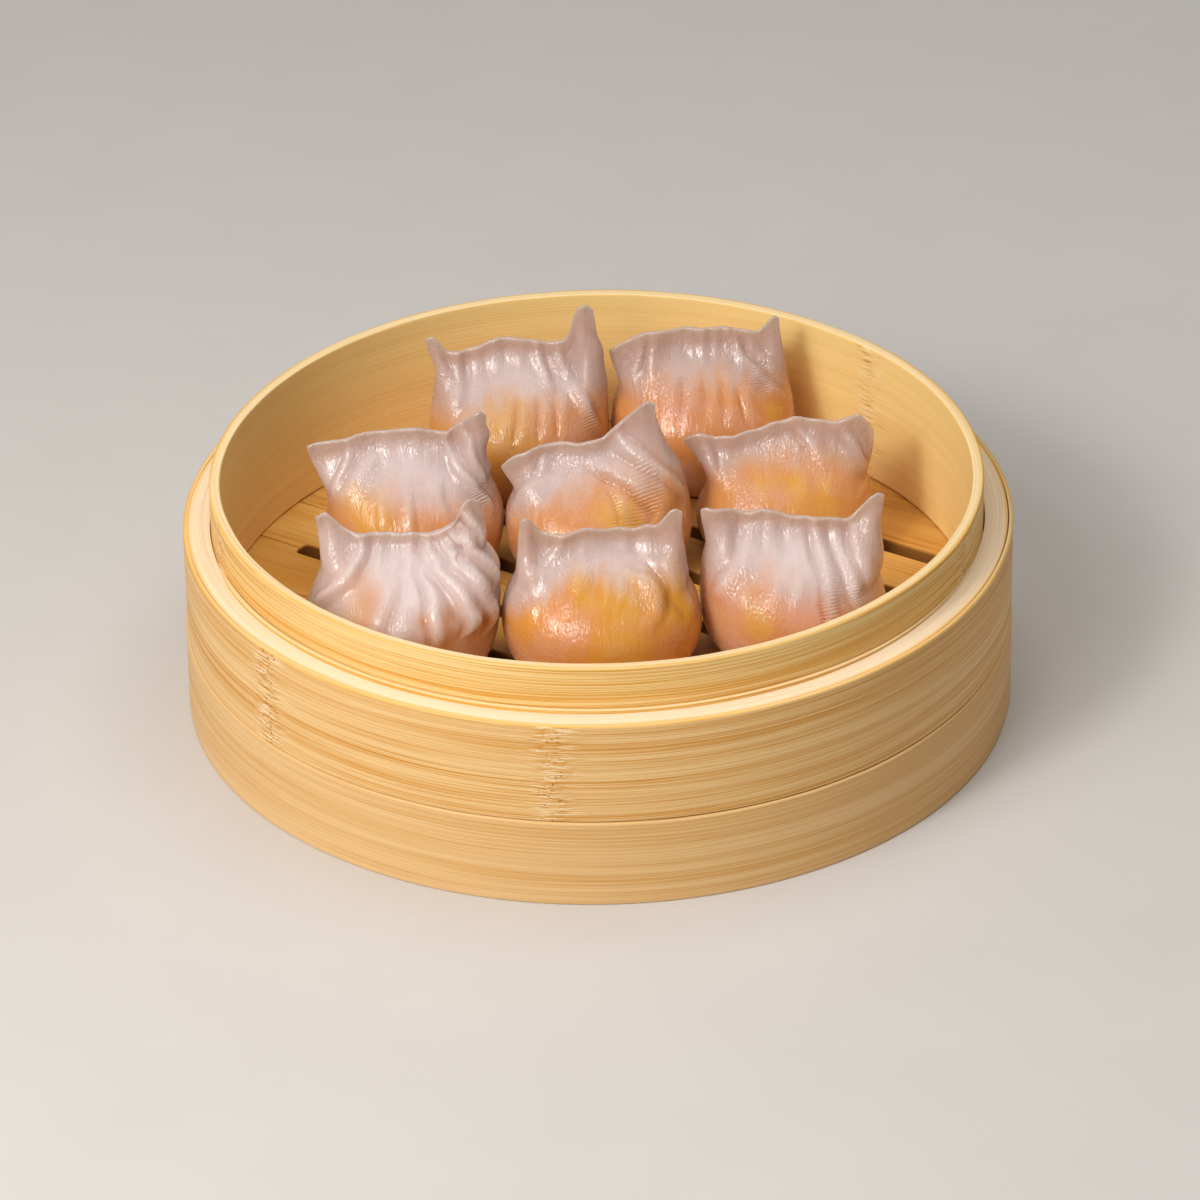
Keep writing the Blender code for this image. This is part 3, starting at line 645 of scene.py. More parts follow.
# %% Dumpling forms
# left and right: outline of each side as (reach, height) from the belly up. crest: outline of the top
# edge from the left ear to the right. depth: belly to front and back. bow: how far the ears lean back.
# All of those are in millimetres. Places on the skin are (across, height) shares: across runs from -1
# at the left end to 1 at the right, and height from 0 at the foot to 1 at the crest.
# clear: how glassy the dough is. milk: the height where it is milkiest. show: how strongly the filling
# shows. lean: its tint all over, below 0 for golden and above 0 for salmon. veil: places along the
# upper edge of the filling's colour. windows: place, radius and how much more filling shows there.
# folds: width, rise, side of the crease (0 for a soft fold) and the path from the crest down.
# spots: place, radius and tint. ripples: place and radius of finely gathered dough.
DUMPLINGS = {
    "dumpling_front_left": {
        "clear": 0.15,
        "windows": (
            (-0.47, 0.66, 5.0, 0.5), (-0.5, 0.44, 6.5, 0.5), (0.18, 0.55, 1.8, 0.4), (0.46, 0.56, 2.4, 0.45),
            (0.35, 0.4, 6.0, 0.45), (0.84, 0.42, 4.5, 0.35),
        ),
        "milk": 0.8,
        "show": 0.5,
        "lean": 0.0,
        "left": ((24.4, 16.0), (22.3, 20.3), (20.4, 25.8), (20.7, 33.2), (21.0, 37.0)),
        "right": (
            (22.6, 15.5), (22.9, 18.5), (22.3, 21.4), (22.9, 25.7), (21.0, 29.7), (19.0, 31.7),
            (19.9, 34.0), (18.8, 38.3),
        ),
        "crest": (
            (-21.5, 39.0), (-18.9, 40.4), (-17.8, 39.6), (-15.0, 37.0), (-11.7, 35.3), (-4.9, 34.5),
            (1.2, 35.1), (3.5, 34.3), (6.6, 34.9), (10.3, 36.7), (12.2, 38.0), (13.9, 42.5), (15.7, 43.4),
            (18.4, 42.4),
        ),
        "depth": (21.0, 18.0),
        "bow": 1.0,
        "veil": ((-1.0, 0.42), (-0.62, 0.48), (-0.3, 0.44), (0.1, 0.42), (0.6, 0.46), (1.0, 0.44)),
        "folds": (
            (1.6, 1.6, 0, ((-0.47, 0.97), (-0.58, 0.80), (-0.73, 0.71), (-0.87, 0.61), (-0.94, 0.50))),
            (2.4, 0.7, 1, ((-0.24, 1.0), (-0.28, 0.88), (-0.30, 0.72))),
            (2.8, 0.8, 1, ((-0.08, 0.98), (-0.15, 0.81), (-0.24, 0.66), (-0.30, 0.50))),
            (3.4, 0.9, -1, ((0.14, 0.98), (0.07, 0.80), (0.0, 0.63), (-0.05, 0.42))),
            (2.3, 1.6, -1, ((0.36, 1.0), (0.26, 0.80), (0.25, 0.70), (0.31, 0.58), (0.38, 0.40))),
            (2.8, 2.3, -1, ((0.44, 1.0), (0.41, 0.80), (0.53, 0.69), (0.66, 0.58), (0.71, 0.44))),
            (2.4, 2.2, -1, ((0.52, 1.0), (0.66, 0.76), (0.79, 0.64), (0.87, 0.52), (0.90, 0.38))),
            (2.0, 2.2, -1, ((0.62, 1.0), (0.78, 0.82), (0.90, 0.72), (0.96, 0.62))),
            (1.8, 1.8, -1, ((0.74, 1.0), (0.88, 0.88), (0.96, 0.80))),
        ),
        "spots": ((-0.6, 0.56, 6.0, -0.5), (-0.35, 0.47, 5.0, 0.4), (0.5, 0.5, 6.0, 0.1)),
        "ripples": (),
    },
    "dumpling_front_middle": {
        "clear": 0.55,
        "windows": ((-0.24, 0.70, 3.0, 0.3), (0.84, 0.68, 4.0, 0.3)),
        "milk": 0.86,
        "show": 1.0,
        "lean": -0.3,
        "left": ((24.4, 12.4), (24.1, 16.5), (22.9, 20.2), (20.8, 24.2), (20.6, 27.5), (20.1, 33.6)),
        "right": (
            (24.1, 11.0), (23.8, 14.0), (23.0, 17.6), (20.9, 22.2), (21.1, 23.4), (20.2, 30.0),
            (19.4, 36.5),
        ),
        "crest": (
            (-19.6, 38.2), (-18.1, 39.2), (-16.5, 37.8), (-14.6, 35.7), (-11.3, 35.1), (-4.2, 36.2),
            (3.5, 35.5), (8.5, 35.5), (10.9, 36.5), (13.1, 36.6), (14.8, 38.4), (16.6, 40.6), (18.0, 41.2),
            (19.6, 40.4),
        ),
        "depth": (21.0, 18.0),
        "bow": 0.0,
        "veil": (
            (-1.0, 0.40), (-0.9, 0.48), (-0.78, 0.55), (-0.62, 0.63), (-0.5, 0.70), (-0.3, 0.75),
            (0.3, 0.73), (0.7, 0.72), (1.0, 0.56),
        ),
        "folds": (
            (3.4, 0.9, 0, ((-0.78, 0.76), (-0.92, 0.68), (-0.98, 0.57), (-0.98, 0.44))),
            (1.6, 0.6, -1, ((-0.47, 1.0), (-0.55, 0.90), (-0.63, 0.82))),
            (1.6, 0.5, 0, ((-0.74, 0.58), (-0.76, 0.48))),
            (2.8, 1.3, 1, ((0.40, 0.76), (0.56, 0.69), (0.64, 0.61), (0.60, 0.52))),
            (3.2, 1.2, -1, ((0.72, 0.80), (0.82, 0.70), (0.90, 0.57), (0.92, 0.44))),
            (1.3, 0.4, 0, ((0.06, 0.74), (0.04, 0.60))),
            (1.3, 0.4, 0, ((0.22, 0.74), (0.20, 0.62))),
            (2.2, 0.6, 0, ((-0.24, 0.76), (-0.32, 0.62))),
        ),
        "spots": (
            (-0.22, 0.72, 3.5, -1.2), (0.3, 0.66, 4.0, -1.4), (0.86, 0.66, 6.0, -1.2), (0.2, 0.34, 6.0, -1.0),
            (-0.45, 0.55, 4.0, 0.8), (0.92, 0.45, 5.0, -0.6),
        ),
        "ripples": (),
    },
    "dumpling_front_right": {
        "clear": 0.35,
        "windows": ((-0.34, 0.40, 5.0, 0.35), (-0.05, 0.58, 2.5, -0.25)),
        "milk": 0.8,
        "show": 0.75,
        "lean": 0.25,
        "left": ((22.3, 14.0), (22.1, 20.3), (21.6, 24.2), (20.7, 28.1), (21.2, 31.6), (21.9, 35.5)),
        "right": (
            (23.2, 11.5), (21.8, 17.5), (20.9, 19.4), (22.1, 21.0), (22.4, 25.3), (21.9, 28.8),
            (21.5, 32.7), (22.0, 36.6),
        ),
        "crest": (
            (-22.0, 36.8), (-20.8, 37.8), (-16.9, 37.4), (-12.9, 36.3), (-10.2, 36.0), (-7.0, 36.8),
            (-2.0, 35.8), (3.4, 35.2), (8.8, 34.4), (12.9, 33.7), (14.0, 34.3), (16.6, 37.1), (18.9, 39.8),
            (20.9, 40.7), (22.4, 39.9),
        ),
        "depth": (20.0, 18.0),
        "bow": 1.0,
        "veil": (
            (-1.0, 0.63), (-0.7, 0.62), (-0.45, 0.64), (-0.2, 0.64), (0.1, 0.60), (0.4, 0.54),
            (0.7, 0.48), (1.0, 0.42),
        ),
        "folds": (
            (3.0, 0.9, 1, ((-0.81, 0.95), (-0.79, 0.82), (-0.79, 0.70))),
            (3.0, 1.1, -1, ((-0.48, 1.0), (-0.50, 0.84), (-0.57, 0.73), (-0.72, 0.64), (-0.80, 0.52))),
            (2.6, 0.6, -1, ((-0.27, 0.97), (-0.28, 0.78))),
            (2.6, 0.7, 1, ((0.08, 1.0), (0.07, 0.76))),
            (2.2, 1.2, -1, ((0.25, 1.0), (0.29, 0.84), (0.34, 0.72), (0.41, 0.58), (0.42, 0.42))),
            (2.2, 1.2, -1, ((0.49, 1.0), (0.55, 0.77), (0.66, 0.61), (0.74, 0.46))),
            (2.2, 0.9, -1, ((0.66, 1.0), (0.74, 0.73), (0.86, 0.54))),
            (2.0, 0.6, 0, ((-0.54, 0.60), (-0.52, 0.46))),
            (2.0, 0.5, 0, ((-0.18, 0.70), (-0.21, 0.52))),
            (1.8, 0.4, 0, ((0.05, 0.68), (0.05, 0.54))),
        ),
        "spots": ((-0.38, 0.42, 4.5, -2.6), (0.1, 0.5, 7.0, 0.8), (-0.6, 0.5, 6.0, 0.3)),
        "ripples": ((0.42, 0.48, 2.4), (0.42, 0.58, 2.0), (0.73, 0.54, 2.0)),
    },
    "dumpling_middle_left": {
        "clear": 0.45,
        "windows": (),
        "milk": 0.84,
        "show": 0.9,
        "lean": -0.1,
        "left": ((21.6, 12.0), (20.6, 16.0), (20.6, 19.0), (21.1, 21.8), (22.7, 25.8), (24.3, 29.4)),
        "right": (
            (23.0, 12.5), (22.8, 15.4), (21.2, 20.2), (19.6, 24.6), (20.2, 25.8), (19.0, 30.2),
            (19.1, 33.0), (20.2, 36.5), (19.2, 39.3),
        ),
        "crest": (
            (-25.4, 32.8), (-23.2, 33.8), (-18.3, 34.9), (-13.0, 36.2), (-6.1, 37.2), (1.9, 38.0),
            (7.1, 36.8), (9.5, 36.2), (11.3, 37.9), (14.1, 40.2), (16.2, 42.3), (17.8, 43.1), (19.2, 41.4),
        ),
        "depth": (20.0, 18.0),
        "bow": 0.0,
        "veil": ((-1.0, 0.55), (-0.7, 0.64), (-0.45, 0.70), (0.0, 0.66), (0.5, 0.63), (1.0, 0.54)),
        "folds": (
            (1.6, 0.7, -1, ((-0.55, 1.0), (-0.60, 0.88), (-0.74, 0.76), (-0.88, 0.61))),
            (2.6, 0.9, -1, ((-0.36, 0.86), (-0.46, 0.79), (-0.60, 0.72), (-0.76, 0.62))),
            (1.7, 1.2, 1, ((0.55, 1.0), (0.62, 0.82), (0.73, 0.72), (0.84, 0.63), (0.92, 0.50))),
            (1.8, 1.0, 1, ((0.71, 0.98), (0.82, 0.81), (0.89, 0.70), (0.95, 0.60))),
            (1.6, 0.5, 0, ((-0.28, 0.68), (-0.33, 0.50))),
            (1.6, 0.6, 1, ((0.03, 0.66), (-0.01, 0.48))),
            (2.4, 0.5, 1, ((0.35, 0.72), (0.42, 0.50))),
        ),
        "spots": ((-0.5, 0.6, 7.0, -1.0), (0.3, 0.55, 7.0, 0.9), (-0.1, 0.5, 4.0, 0.3)),
        "ripples": ((0.86, 0.6, 2.0),),
    },
    "dumpling_middle": {
        "clear": 0.5,
        "windows": (),
        "milk": 0.86,
        "show": 0.95,
        "lean": 0.1,
        "left": ((23.1, 12.0), (22.8, 16.4), (21.0, 20.8), (20.8, 23.1), (22.8, 26.4)),
        "right": (
            (23.2, 12.0), (22.6, 18.3), (21.6, 23.9), (20.6, 27.9), (18.5, 31.5), (16.2, 36.7),
            (14.5, 41.9),
        ),
        "crest": (
            (-23.9, 28.3), (-22.4, 29.9), (-20.2, 31.7), (-17.5, 32.6), (-14.3, 33.5), (-9.1, 34.3),
            (-5.0, 34.3), (-1.5, 35.0), (1.3, 35.8), (4.8, 38.9), (8.3, 42.2), (11.1, 44.7), (13.1, 45.2),
            (14.4, 44.4),
        ),
        "depth": (20.0, 18.0),
        "bow": 0.0,
        "veil": (
            (-1.0, 0.50), (-0.6, 0.64), (-0.2, 0.78), (0.15, 0.80), (0.5, 0.78), (0.8, 0.74), (1.0, 0.66),
        ),
        "folds": (
            (1.6, 0.7, -1, ((-0.39, 1.0), (-0.50, 0.90), (-0.62, 0.82))),
            (2.8, 0.9, -1, ((-0.70, 0.80), (-0.85, 0.72), (-0.95, 0.62), (-0.98, 0.48))),
            (1.8, 0.9, 1, ((0.47, 0.92), (0.62, 0.80), (0.79, 0.72))),
            (1.9, 1.1, 1, ((0.52, 1.0), (0.58, 0.86), (0.72, 0.78), (0.88, 0.68), (0.97, 0.57))),
            (3.2, 1.5, -1, ((0.24, 0.86), (0.40, 0.76), (0.56, 0.70), (0.66, 0.64), (0.71, 0.56))),
            (2.4, 0.7, -1, ((0.24, 0.74), (0.30, 0.64), (0.31, 0.52))),
        ),
        "spots": ((0.0, 0.72, 6.0, -0.4), (0.25, 0.55, 6.0, -0.9), (-0.4, 0.6, 9.0, 0.3)),
        "ripples": ((0.60, 0.68, 2.8), (0.31, 0.58, 2.5)),
    },
    "dumpling_middle_right": {
        "clear": 0.85,
        "windows": (
            (-0.33, 0.62, 3.0, 0.25), (0.1, 0.65, 2.6, 0.25), (0.62, 0.66, 3.5, 0.2), (0.3, 0.6, 3.0, 0.15),
        ),
        "milk": 0.84,
        "show": 0.9,
        "lean": -0.15,
        "left": ((22.1, 9.0), (21.6, 11.9), (19.6, 16.3), (19.3, 19.5), (20.8, 23.2), (23.2, 27.2)),
        "right": ((22.2, 11.0), (21.8, 13.9), (21.1, 17.6), (20.2, 20.8), (21.2, 22.4), (22.1, 27.9)),
        "crest": (
            (-25.2, 29.7), (-23.9, 30.6), (-21.4, 31.0), (-18.0, 30.4), (-14.5, 30.5), (-11.0, 31.7),
            (-6.8, 32.5), (-2.3, 34.0), (1.5, 34.9), (6.4, 35.0), (13.3, 34.3), (16.5, 36.0), (18.5, 36.3),
            (19.9, 34.3), (22.2, 31.6),
        ),
        "depth": (19.0, 17.0),
        "bow": 0.0,
        "veil": (
            (-0.93, 0.68), (-0.64, 0.78), (-0.35, 0.82), (0.0, 0.84), (0.28, 0.82), (0.53, 0.78), (0.8, 0.72),
        ),
        "folds": (
            (1.8, 0.7, 1, ((-0.78, 0.98), (-0.84, 0.84), (-0.88, 0.72))),
            (2.0, 0.8, -1, ((0.19, 0.94), (0.33, 0.83), (0.44, 0.76))),
            (2.2, 0.9, 1, ((0.68, 0.95), (0.78, 0.82), (0.89, 0.74), (0.96, 0.56))),
            (2.6, 0.4, 0, ((-0.3, 0.74), (-0.34, 0.55))),
            (2.6, 0.4, 0, ((0.12, 0.74), (0.14, 0.55))),
            (2.6, 0.4, 0, ((0.52, 0.70), (0.56, 0.52))),
        ),
        "spots": (
            (-0.33, 0.63, 2.4, -0.9), (0.13, 0.65, 2.1, -0.8), (0.47, 0.65, 2.1, -0.8),
            (0.8, 0.70, 2.4, -0.7), (0.2, 0.6, 9.0, -0.3),
        ),
        "ripples": (),
    },
    "dumpling_back_left": {
        "clear": 0.6,
        "windows": (),
        "milk": 0.82,
        "show": 0.9,
        "lean": -0.3,
        "left": ((22.9, 14.0), (22.6, 20.3), (21.6, 25.1), (21.0, 30.9), (21.2, 33.5), (22.7, 37.9)),
        "right": (
            (22.8, 15.0), (22.5, 22.4), (22.5, 27.9), (21.7, 33.0), (21.6, 37.1), (19.9, 41.5),
            (19.7, 44.7),
        ),
        "crest": (
            (-23.2, 40.1), (-22.0, 41.1), (-20.7, 40.6), (-19.3, 38.6), (-17.9, 36.9), (-13.1, 37.3),
            (-9.2, 38.7), (-5.3, 40.0), (2.7, 39.9), (7.5, 38.9), (11.1, 39.2), (12.7, 40.8), (13.9, 44.8),
            (14.3, 47.2), (15.8, 48.8), (17.4, 49.3), (19.2, 47.4),
        ),
        "depth": (20.0, 17.0),
        "bow": 0.0,
        "veil": ((-1.0, 0.58), (-0.6, 0.60), (-0.3, 0.70), (0.1, 0.72), (0.6, 0.68), (1.0, 0.6)),
        "folds": (
            (2.6, 0.9, 1, ((-0.66, 1.0), (-0.69, 0.90), (-0.72, 0.78), (-0.80, 0.62))),
            (2.4, 0.6, -1, ((-0.46, 0.96), (-0.51, 0.86), (-0.58, 0.74))),
            (1.7, 0.9, 1, ((0.32, 1.0), (0.31, 0.86), (0.34, 0.76))),
            (1.8, 1.0, 1, ((0.57, 1.0), (0.56, 0.87), (0.60, 0.78))),
            (1.8, 1.0, 1, ((0.60, 0.78), (0.73, 0.65), (0.80, 0.57), (0.88, 0.46))),
            (2.0, 0.6, -1, ((0.03, 0.70), (0.03, 0.48))),
            (2.0, 0.6, -1, ((0.28, 0.70), (0.30, 0.50))),
            (2.0, 0.6, -1, ((0.46, 0.70), (0.50, 0.50))),
            (2.0, 0.7, 0, ((-0.18, 0.62), (-0.19, 0.48))),
        ),
        "spots": ((-0.28, 0.58, 7.0, -1.0), (0.45, 0.58, 7.0, 0.6), (0.1, 0.5, 6.0, -0.4)),
        "ripples": ((0.8, 0.56, 2.0),),
    },
    "dumpling_back_right": {
        "clear": 0.9,
        "windows": (),
        "milk": 0.84,
        "show": 0.95,
        "lean": 0.3,
        "left": ((23.5, 14.0), (22.9, 20.4), (21.2, 24.4), (21.2, 26.3), (22.1, 30.0), (23.5, 33.7)),
        "right": ((23.4, 14.4), (22.8, 20.7), (21.6, 26.2), (20.8, 32.8), (19.7, 39.1)),
        "crest": (
            (-23.7, 34.6), (-21.7, 36.5), (-18.1, 37.9), (-15.2, 39.9), (-12.3, 40.3), (-3.3, 40.7),
            (6.4, 40.8), (13.1, 39.7), (14.7, 40.6), (16.7, 42.9), (18.3, 43.7), (19.4, 42.4),
        ),
        "depth": (20.0, 17.0),
        "bow": 0.0,
        "veil": ((-1.0, 0.64), (-0.6, 0.74), (-0.2, 0.76), (0.2, 0.76), (0.6, 0.74), (1.0, 0.66)),
        "folds": (
            (2.0, 0.8, 1, ((-0.62, 0.98), (-0.70, 0.88), (-0.79, 0.80))),
            (1.8, 0.6, -1, ((-0.44, 1.0), (-0.53, 0.90), (-0.58, 0.80))),
            (2.0, 0.9, 1, ((0.42, 1.0), (0.46, 0.92), (0.52, 0.84), (0.64, 0.79))),
            (1.8, 0.9, 1, ((0.64, 0.80), (0.76, 0.70), (0.88, 0.60))),
            (2.0, 0.6, 1, ((0.64, 0.98), (0.70, 0.88), (0.78, 0.80))),
            (2.2, 0.6, 0, ((-0.37, 0.76), (-0.42, 0.60))),
            (2.0, 0.5, -1, ((-0.16, 0.76), (-0.19, 0.58))),
            (2.2, 0.5, -1, ((0.10, 0.74), (0.10, 0.58))),
            (2.0, 0.6, -1, ((0.28, 0.74), (0.30, 0.54))),
            (2.0, 0.6, -1, ((0.48, 0.68), (0.56, 0.52))),
        ),
        "spots": ((0.8, 0.52, 5.0, -0.9), (-0.2, 0.56, 8.0, 0.4), (-0.8, 0.6, 6.0, 0.3)),
        "ripples": ((0.7, 0.72, 2.5),),
    },
}
print("dumplings:", len(DUMPLINGS), "folds:", sum(len(form["folds"]) for form in DUMPLINGS.values()))

# %% [markdown]
# ## Dumpling surface
# The skin starts as a smooth bag: rounded ovals stacked from the foot, widest at the belly, drawn in
# at the neck and flattened to the crest. Every fold is then raised along its own path, pushed out
# square to the bag, with a sharp crease on one side where the dough laps over itself. Working in the
# bag's own two directions keeps the folds on the skin wherever it turns.

# %% Dumpling surface
AROUND = 384
BELLY_LEVELS = 44
UPPER_LEVELS = 84
CAP_LEVELS = 5
FOOT_RINGS = 6
FOOT_SPREAD = 0.72
CREST_HALF = 0.6
CAP_RISE = 0.7


def round_foot(share):
    """Reach as a share of the belly's: a quarter ellipse from the flat foot up to the belly at 1."""
    low = np.clip(share, 0.0, 1.0)
    return FOOT_SPREAD + (1.0 - FOOT_SPREAD) * np.sqrt(1.0 - (1.0 - low) ** 2)


def side_reach(z, side, tip):
    """How far the skin reaches sideways at height z: a round foot, then the outline up to the tip.

    The outline is (reach, height) points from the belly up, its corners rounded by a running mean.
    """
    reach, level = np.array(side + (tip,)).T
    samples = [np.interp(z + offset, level, reach) for offset in np.linspace(-1.0, 1.0, 5)]
    return np.mean(samples, axis=0) * round_foot(z / level[0])


def front_reach(v, depth, belly_v):
    """How far the skin reaches to the front or back: round belly, closing to the thin crest."""
    foot = round_foot(v / belly_v)
    closing = np.clip((v - belly_v) / (0.99 - belly_v), 0.0, 1.0) ** 1.1
    return CREST_HALF + (depth * foot - CREST_HALF) * (0.5 + 0.5 * np.cos(math.pi * closing))


def smooth_outline(across, corners):
    """The crest's outline at each place across, with its corners rounded by a short running mean."""
    corner_x = np.array([corner[0] for corner in corners])
    corner_z = np.array([corner[1] for corner in corners])
    share = (corner_x - corner_x[0]) / (corner_x[-1] - corner_x[0]) * 2.0 - 1.0
    offsets = np.linspace(-0.035, 0.035, 9)
    weights = np.cos(offsets / 0.035 * math.pi / 2.0) + 0.05
    samples = [np.interp(across + offset, share, corner_z) for offset in offsets]
    return np.average(samples, axis=0, weights=weights)


def middle_sizes(form):
    """The crest's usual height in millimetres, and the belly's height as a share of it."""
    height = float(np.median([corner[1] for corner in form["crest"]]))
    return height, (form["left"][0][1] + form["right"][0][1]) / (2.0 * height)


def bag(form, v, turn):
    """The smooth bag as an array [level, point, xyz] in millimetres.

    A ring is a rounded oval: x = reach times cos(turn), y = depth times |sin(turn)| to a power that
    falls towards the crest, where the oval is a thin strip. The front is where sin(turn) is below 0.
    """
    first, last = form["crest"][0], form["crest"][-1]
    height, belly_v = middle_sizes(form)
    across = np.cos(turn)
    lift = ease((v - 0.45) / 0.55) ** 1.4
    left = side_reach(height * v + (first[1] - height) * lift, form["left"], (-first[0], first[1]))
    right = side_reach(height * v + (last[1] - height) * lift, form["right"], last)
    x = (right - left) / 2.0 + across * (right + left) / 2.0
    power = 0.95 - 0.6 * ease((v - 0.55) / 0.45)
    round_off = np.abs(np.sin(turn)) ** power
    deep_front = front_reach(v, form["depth"][0], belly_v)
    deep_back = front_reach(v, form["depth"][1], belly_v)
    lean = form["bow"] * across**2 * v**2
    y = np.where(np.sin(turn) < 0.0, -deep_front * round_off, deep_back * round_off) + lean
    outline = smooth_outline(across, form["crest"]) - CAP_RISE
    z = height * v + (outline - height) * lift
    return np.stack(np.broadcast_arrays(x, y, z), axis=-1)


def normals_of(points):
    """Unit vectors square to the grid: the cross product of its two directions."""
    round_way = np.roll(points, -1, axis=1) - np.roll(points, 1, axis=1)
    up_way = np.gradient(points, axis=0)
    square = np.cross(round_way, up_way)
    return square / np.maximum(np.linalg.norm(square, axis=-1, keepdims=True), 1e-9)


def ring_lengths(points):
    """Distance round each ring from its front middle, in millimetres: less than 0 towards the left."""
    steps = np.linalg.norm(np.roll(points, -1, axis=1) - points, axis=-1)
    walked = np.concatenate([np.zeros((len(points), 1)), np.cumsum(steps, axis=1)[:, :-1]], axis=1)
    return walked - walked[:, 3 * AROUND // 4 : 3 * AROUND // 4 + 1]


def round_ridge(q, crease):
    """Height across a fold, q widths from its ridge line: flat-topped, and steeper towards its crease."""
    steep = np.where(q * crease > 0.0, 1.5, 1.0)
    return np.exp(-(np.abs(q * steep) ** 2.4))


def fold_heights(form, v, lengths, around, rise):
    """All folds together, in millimetres out from the bag. Each follows a curve fitted to its path.

    Ridges are joined by the fourth root of the sum of their fourth powers, which leaves a sharp
    valley where two meet. A crease dips a little below the bag beside its ridge.
    """
    ridges, dips = np.zeros(lengths.shape), np.zeros(lengths.shape)
    near = lengths[:, AROUND // 2 :]
    for width, high, crease, path in form["folds"]:
        path_c, path_v = np.array(path).T
        curve = np.polyfit(path_v, path_c, min(3, len(path) - 1))
        reach = np.clip(v[:, 0], path_v[-1] - 0.04, min(path_v[0] + 0.04, 1.0))
        centre = np.clip(np.polyval(curve, reach), -0.995, 0.995)
        column = (math.pi - np.arccos(centre)) / (2.0 * math.pi) * AROUND
        left = np.clip(column.astype(int), 0, AROUND // 2 - 2)
        rows = np.arange(len(v))
        line = near[rows, left] + (near[rows, left + 1] - near[rows, left]) * (column - left)
        slope = np.gradient(line) / np.maximum(np.gradient(rise), 1e-6)
        gone = (lengths - line[:, None] + around / 2.0) % around - around / 2.0
        q = gone / width / np.sqrt(1.0 + slope[:, None] ** 2)
        top_fade = 1.0 if path_v[0] > 0.93 else ease((path_v[0] + 0.05 - v) / 0.1)
        fade = ease((v - path_v[-1] + 0.09) / 0.16) * top_fade * (1.0 - 0.5 * ease((v - 0.88) / 0.12))
        ridges += (high * fade * round_ridge(q, crease)) ** 4
        dips += abs(crease) * 0.2 * high * fade * np.exp(-(((q * crease - 1.05) / 0.35) ** 2))
    return 0.85 * ridges**0.25 - dips


def bumps(points, seed, size, count=16):
    """Soft uneven dents, about 1 high: a sum of seeded sine waves through space in every direction."""
    draw = np.random.default_rng(seed)
    total = np.zeros(points.shape[:-1])
    for _ in range(count):
        way = draw.normal(size=3)
        way /= np.linalg.norm(way)
        wave = size * draw.uniform(0.6, 1.8)
        total += np.sin(2.0 * math.pi * (points @ way) / wave + draw.uniform(0.0, 2.0 * math.pi))
    return total / math.sqrt(count)


def smoothed_round(field, spread):
    """The field blurred along each ring by that many points, by damping its waves."""
    waves = np.fft.rfft(field, axis=1)
    turns = np.arange(waves.shape[1]) / AROUND * 2.0 * math.pi
    return np.fft.irfft(waves * np.exp(-((turns * spread) ** 2) / 2.0), n=AROUND, axis=1)


def around_spots(spots, lengths, v, height, place_of):
    """Sum of soft round patches: a bell of each one's radius about its place, times its amount or 1."""
    total = np.zeros(lengths.shape)
    for across, level, radius, *amount in spots:
        gone = (lengths - place_of(across, level)) ** 2 + ((v - level) * height) ** 2
        total += (amount[0] if amount else 1.0) * np.exp(-gone / radius**2)
    return total


def skin_levels(belly_v):
    """Heights of the rings, as shares: closer together at the foot, then even up to the crest."""
    low = belly_v * (1.0 - np.cos(np.linspace(0.0, math.pi / 2.0, BELLY_LEVELS)))
    return np.concatenate([low, np.linspace(belly_v, 1.0, UPPER_LEVELS + 1)[1:]])[:, None]


def filling_border(form, points, folds, turn, seed):
    """Height where the filling's colour ends: the veil in front, lower behind, with an uneven edge."""
    veil_across, veil_height = np.array(form["veil"]).T
    offsets = np.linspace(-0.1, 0.1, 7)
    border = np.mean([np.interp(np.cos(turn) + o, veil_across, veil_height) for o in offsets], axis=0)
    border = np.where(np.sin(turn) < 0.0, border, 0.5 * border + 0.32)
    border = border + bumps(points, seed + 3, 12.0) * 0.02
    return border + bumps(points * (2.6, 1.0, 0.3), seed + 5, 8.0) * 0.02 - folds * 0.02


def skin_values(form, points, v, turn, lengths, rise, folds, out, seed):
    """The numbers that the finish reads at every point of the skin."""
    height = middle_sizes(form)[0]
    across = np.cos(turn)

    def place_of(place_across, place_v):
        row = int(np.argmin(np.abs(v[:, 0] - place_v)))
        column = AROUND // 2 + round((1.0 - math.acos(place_across) / math.pi) * (AROUND // 2))
        return lengths[row, min(column, AROUND - 1)]

    def patches(key):
        return around_spots(form[key], lengths, v, height, place_of)

    border = filling_border(form, points, folds, turn, seed)
    filling = form["show"] * ease((border + 0.12 - v) / 0.24) + patches("windows")
    clear = form["clear"] + 0.35 * ease((v - 0.72) / 0.3) + 0.3 * ease((np.abs(across) - 0.5) / 0.5)
    clear = clear - 0.35 * np.exp(-(((v - form["milk"]) / 0.16) ** 2) - (across / 0.6) ** 2)
    return {
        "filling": np.clip(filling, 0.0, 1.0),
        "fold": out - smoothed_round(out, 6.0),
        "clear": clear + 0.3 * ease((v - 0.9) / 0.1),
        "tint": form["lean"] + patches("spots"),
        "ripple": np.clip(patches("ripples"), 0.0, 1.0),
        "up_way": np.broadcast_to(rise[:, None], filling.shape) * MM,
    }


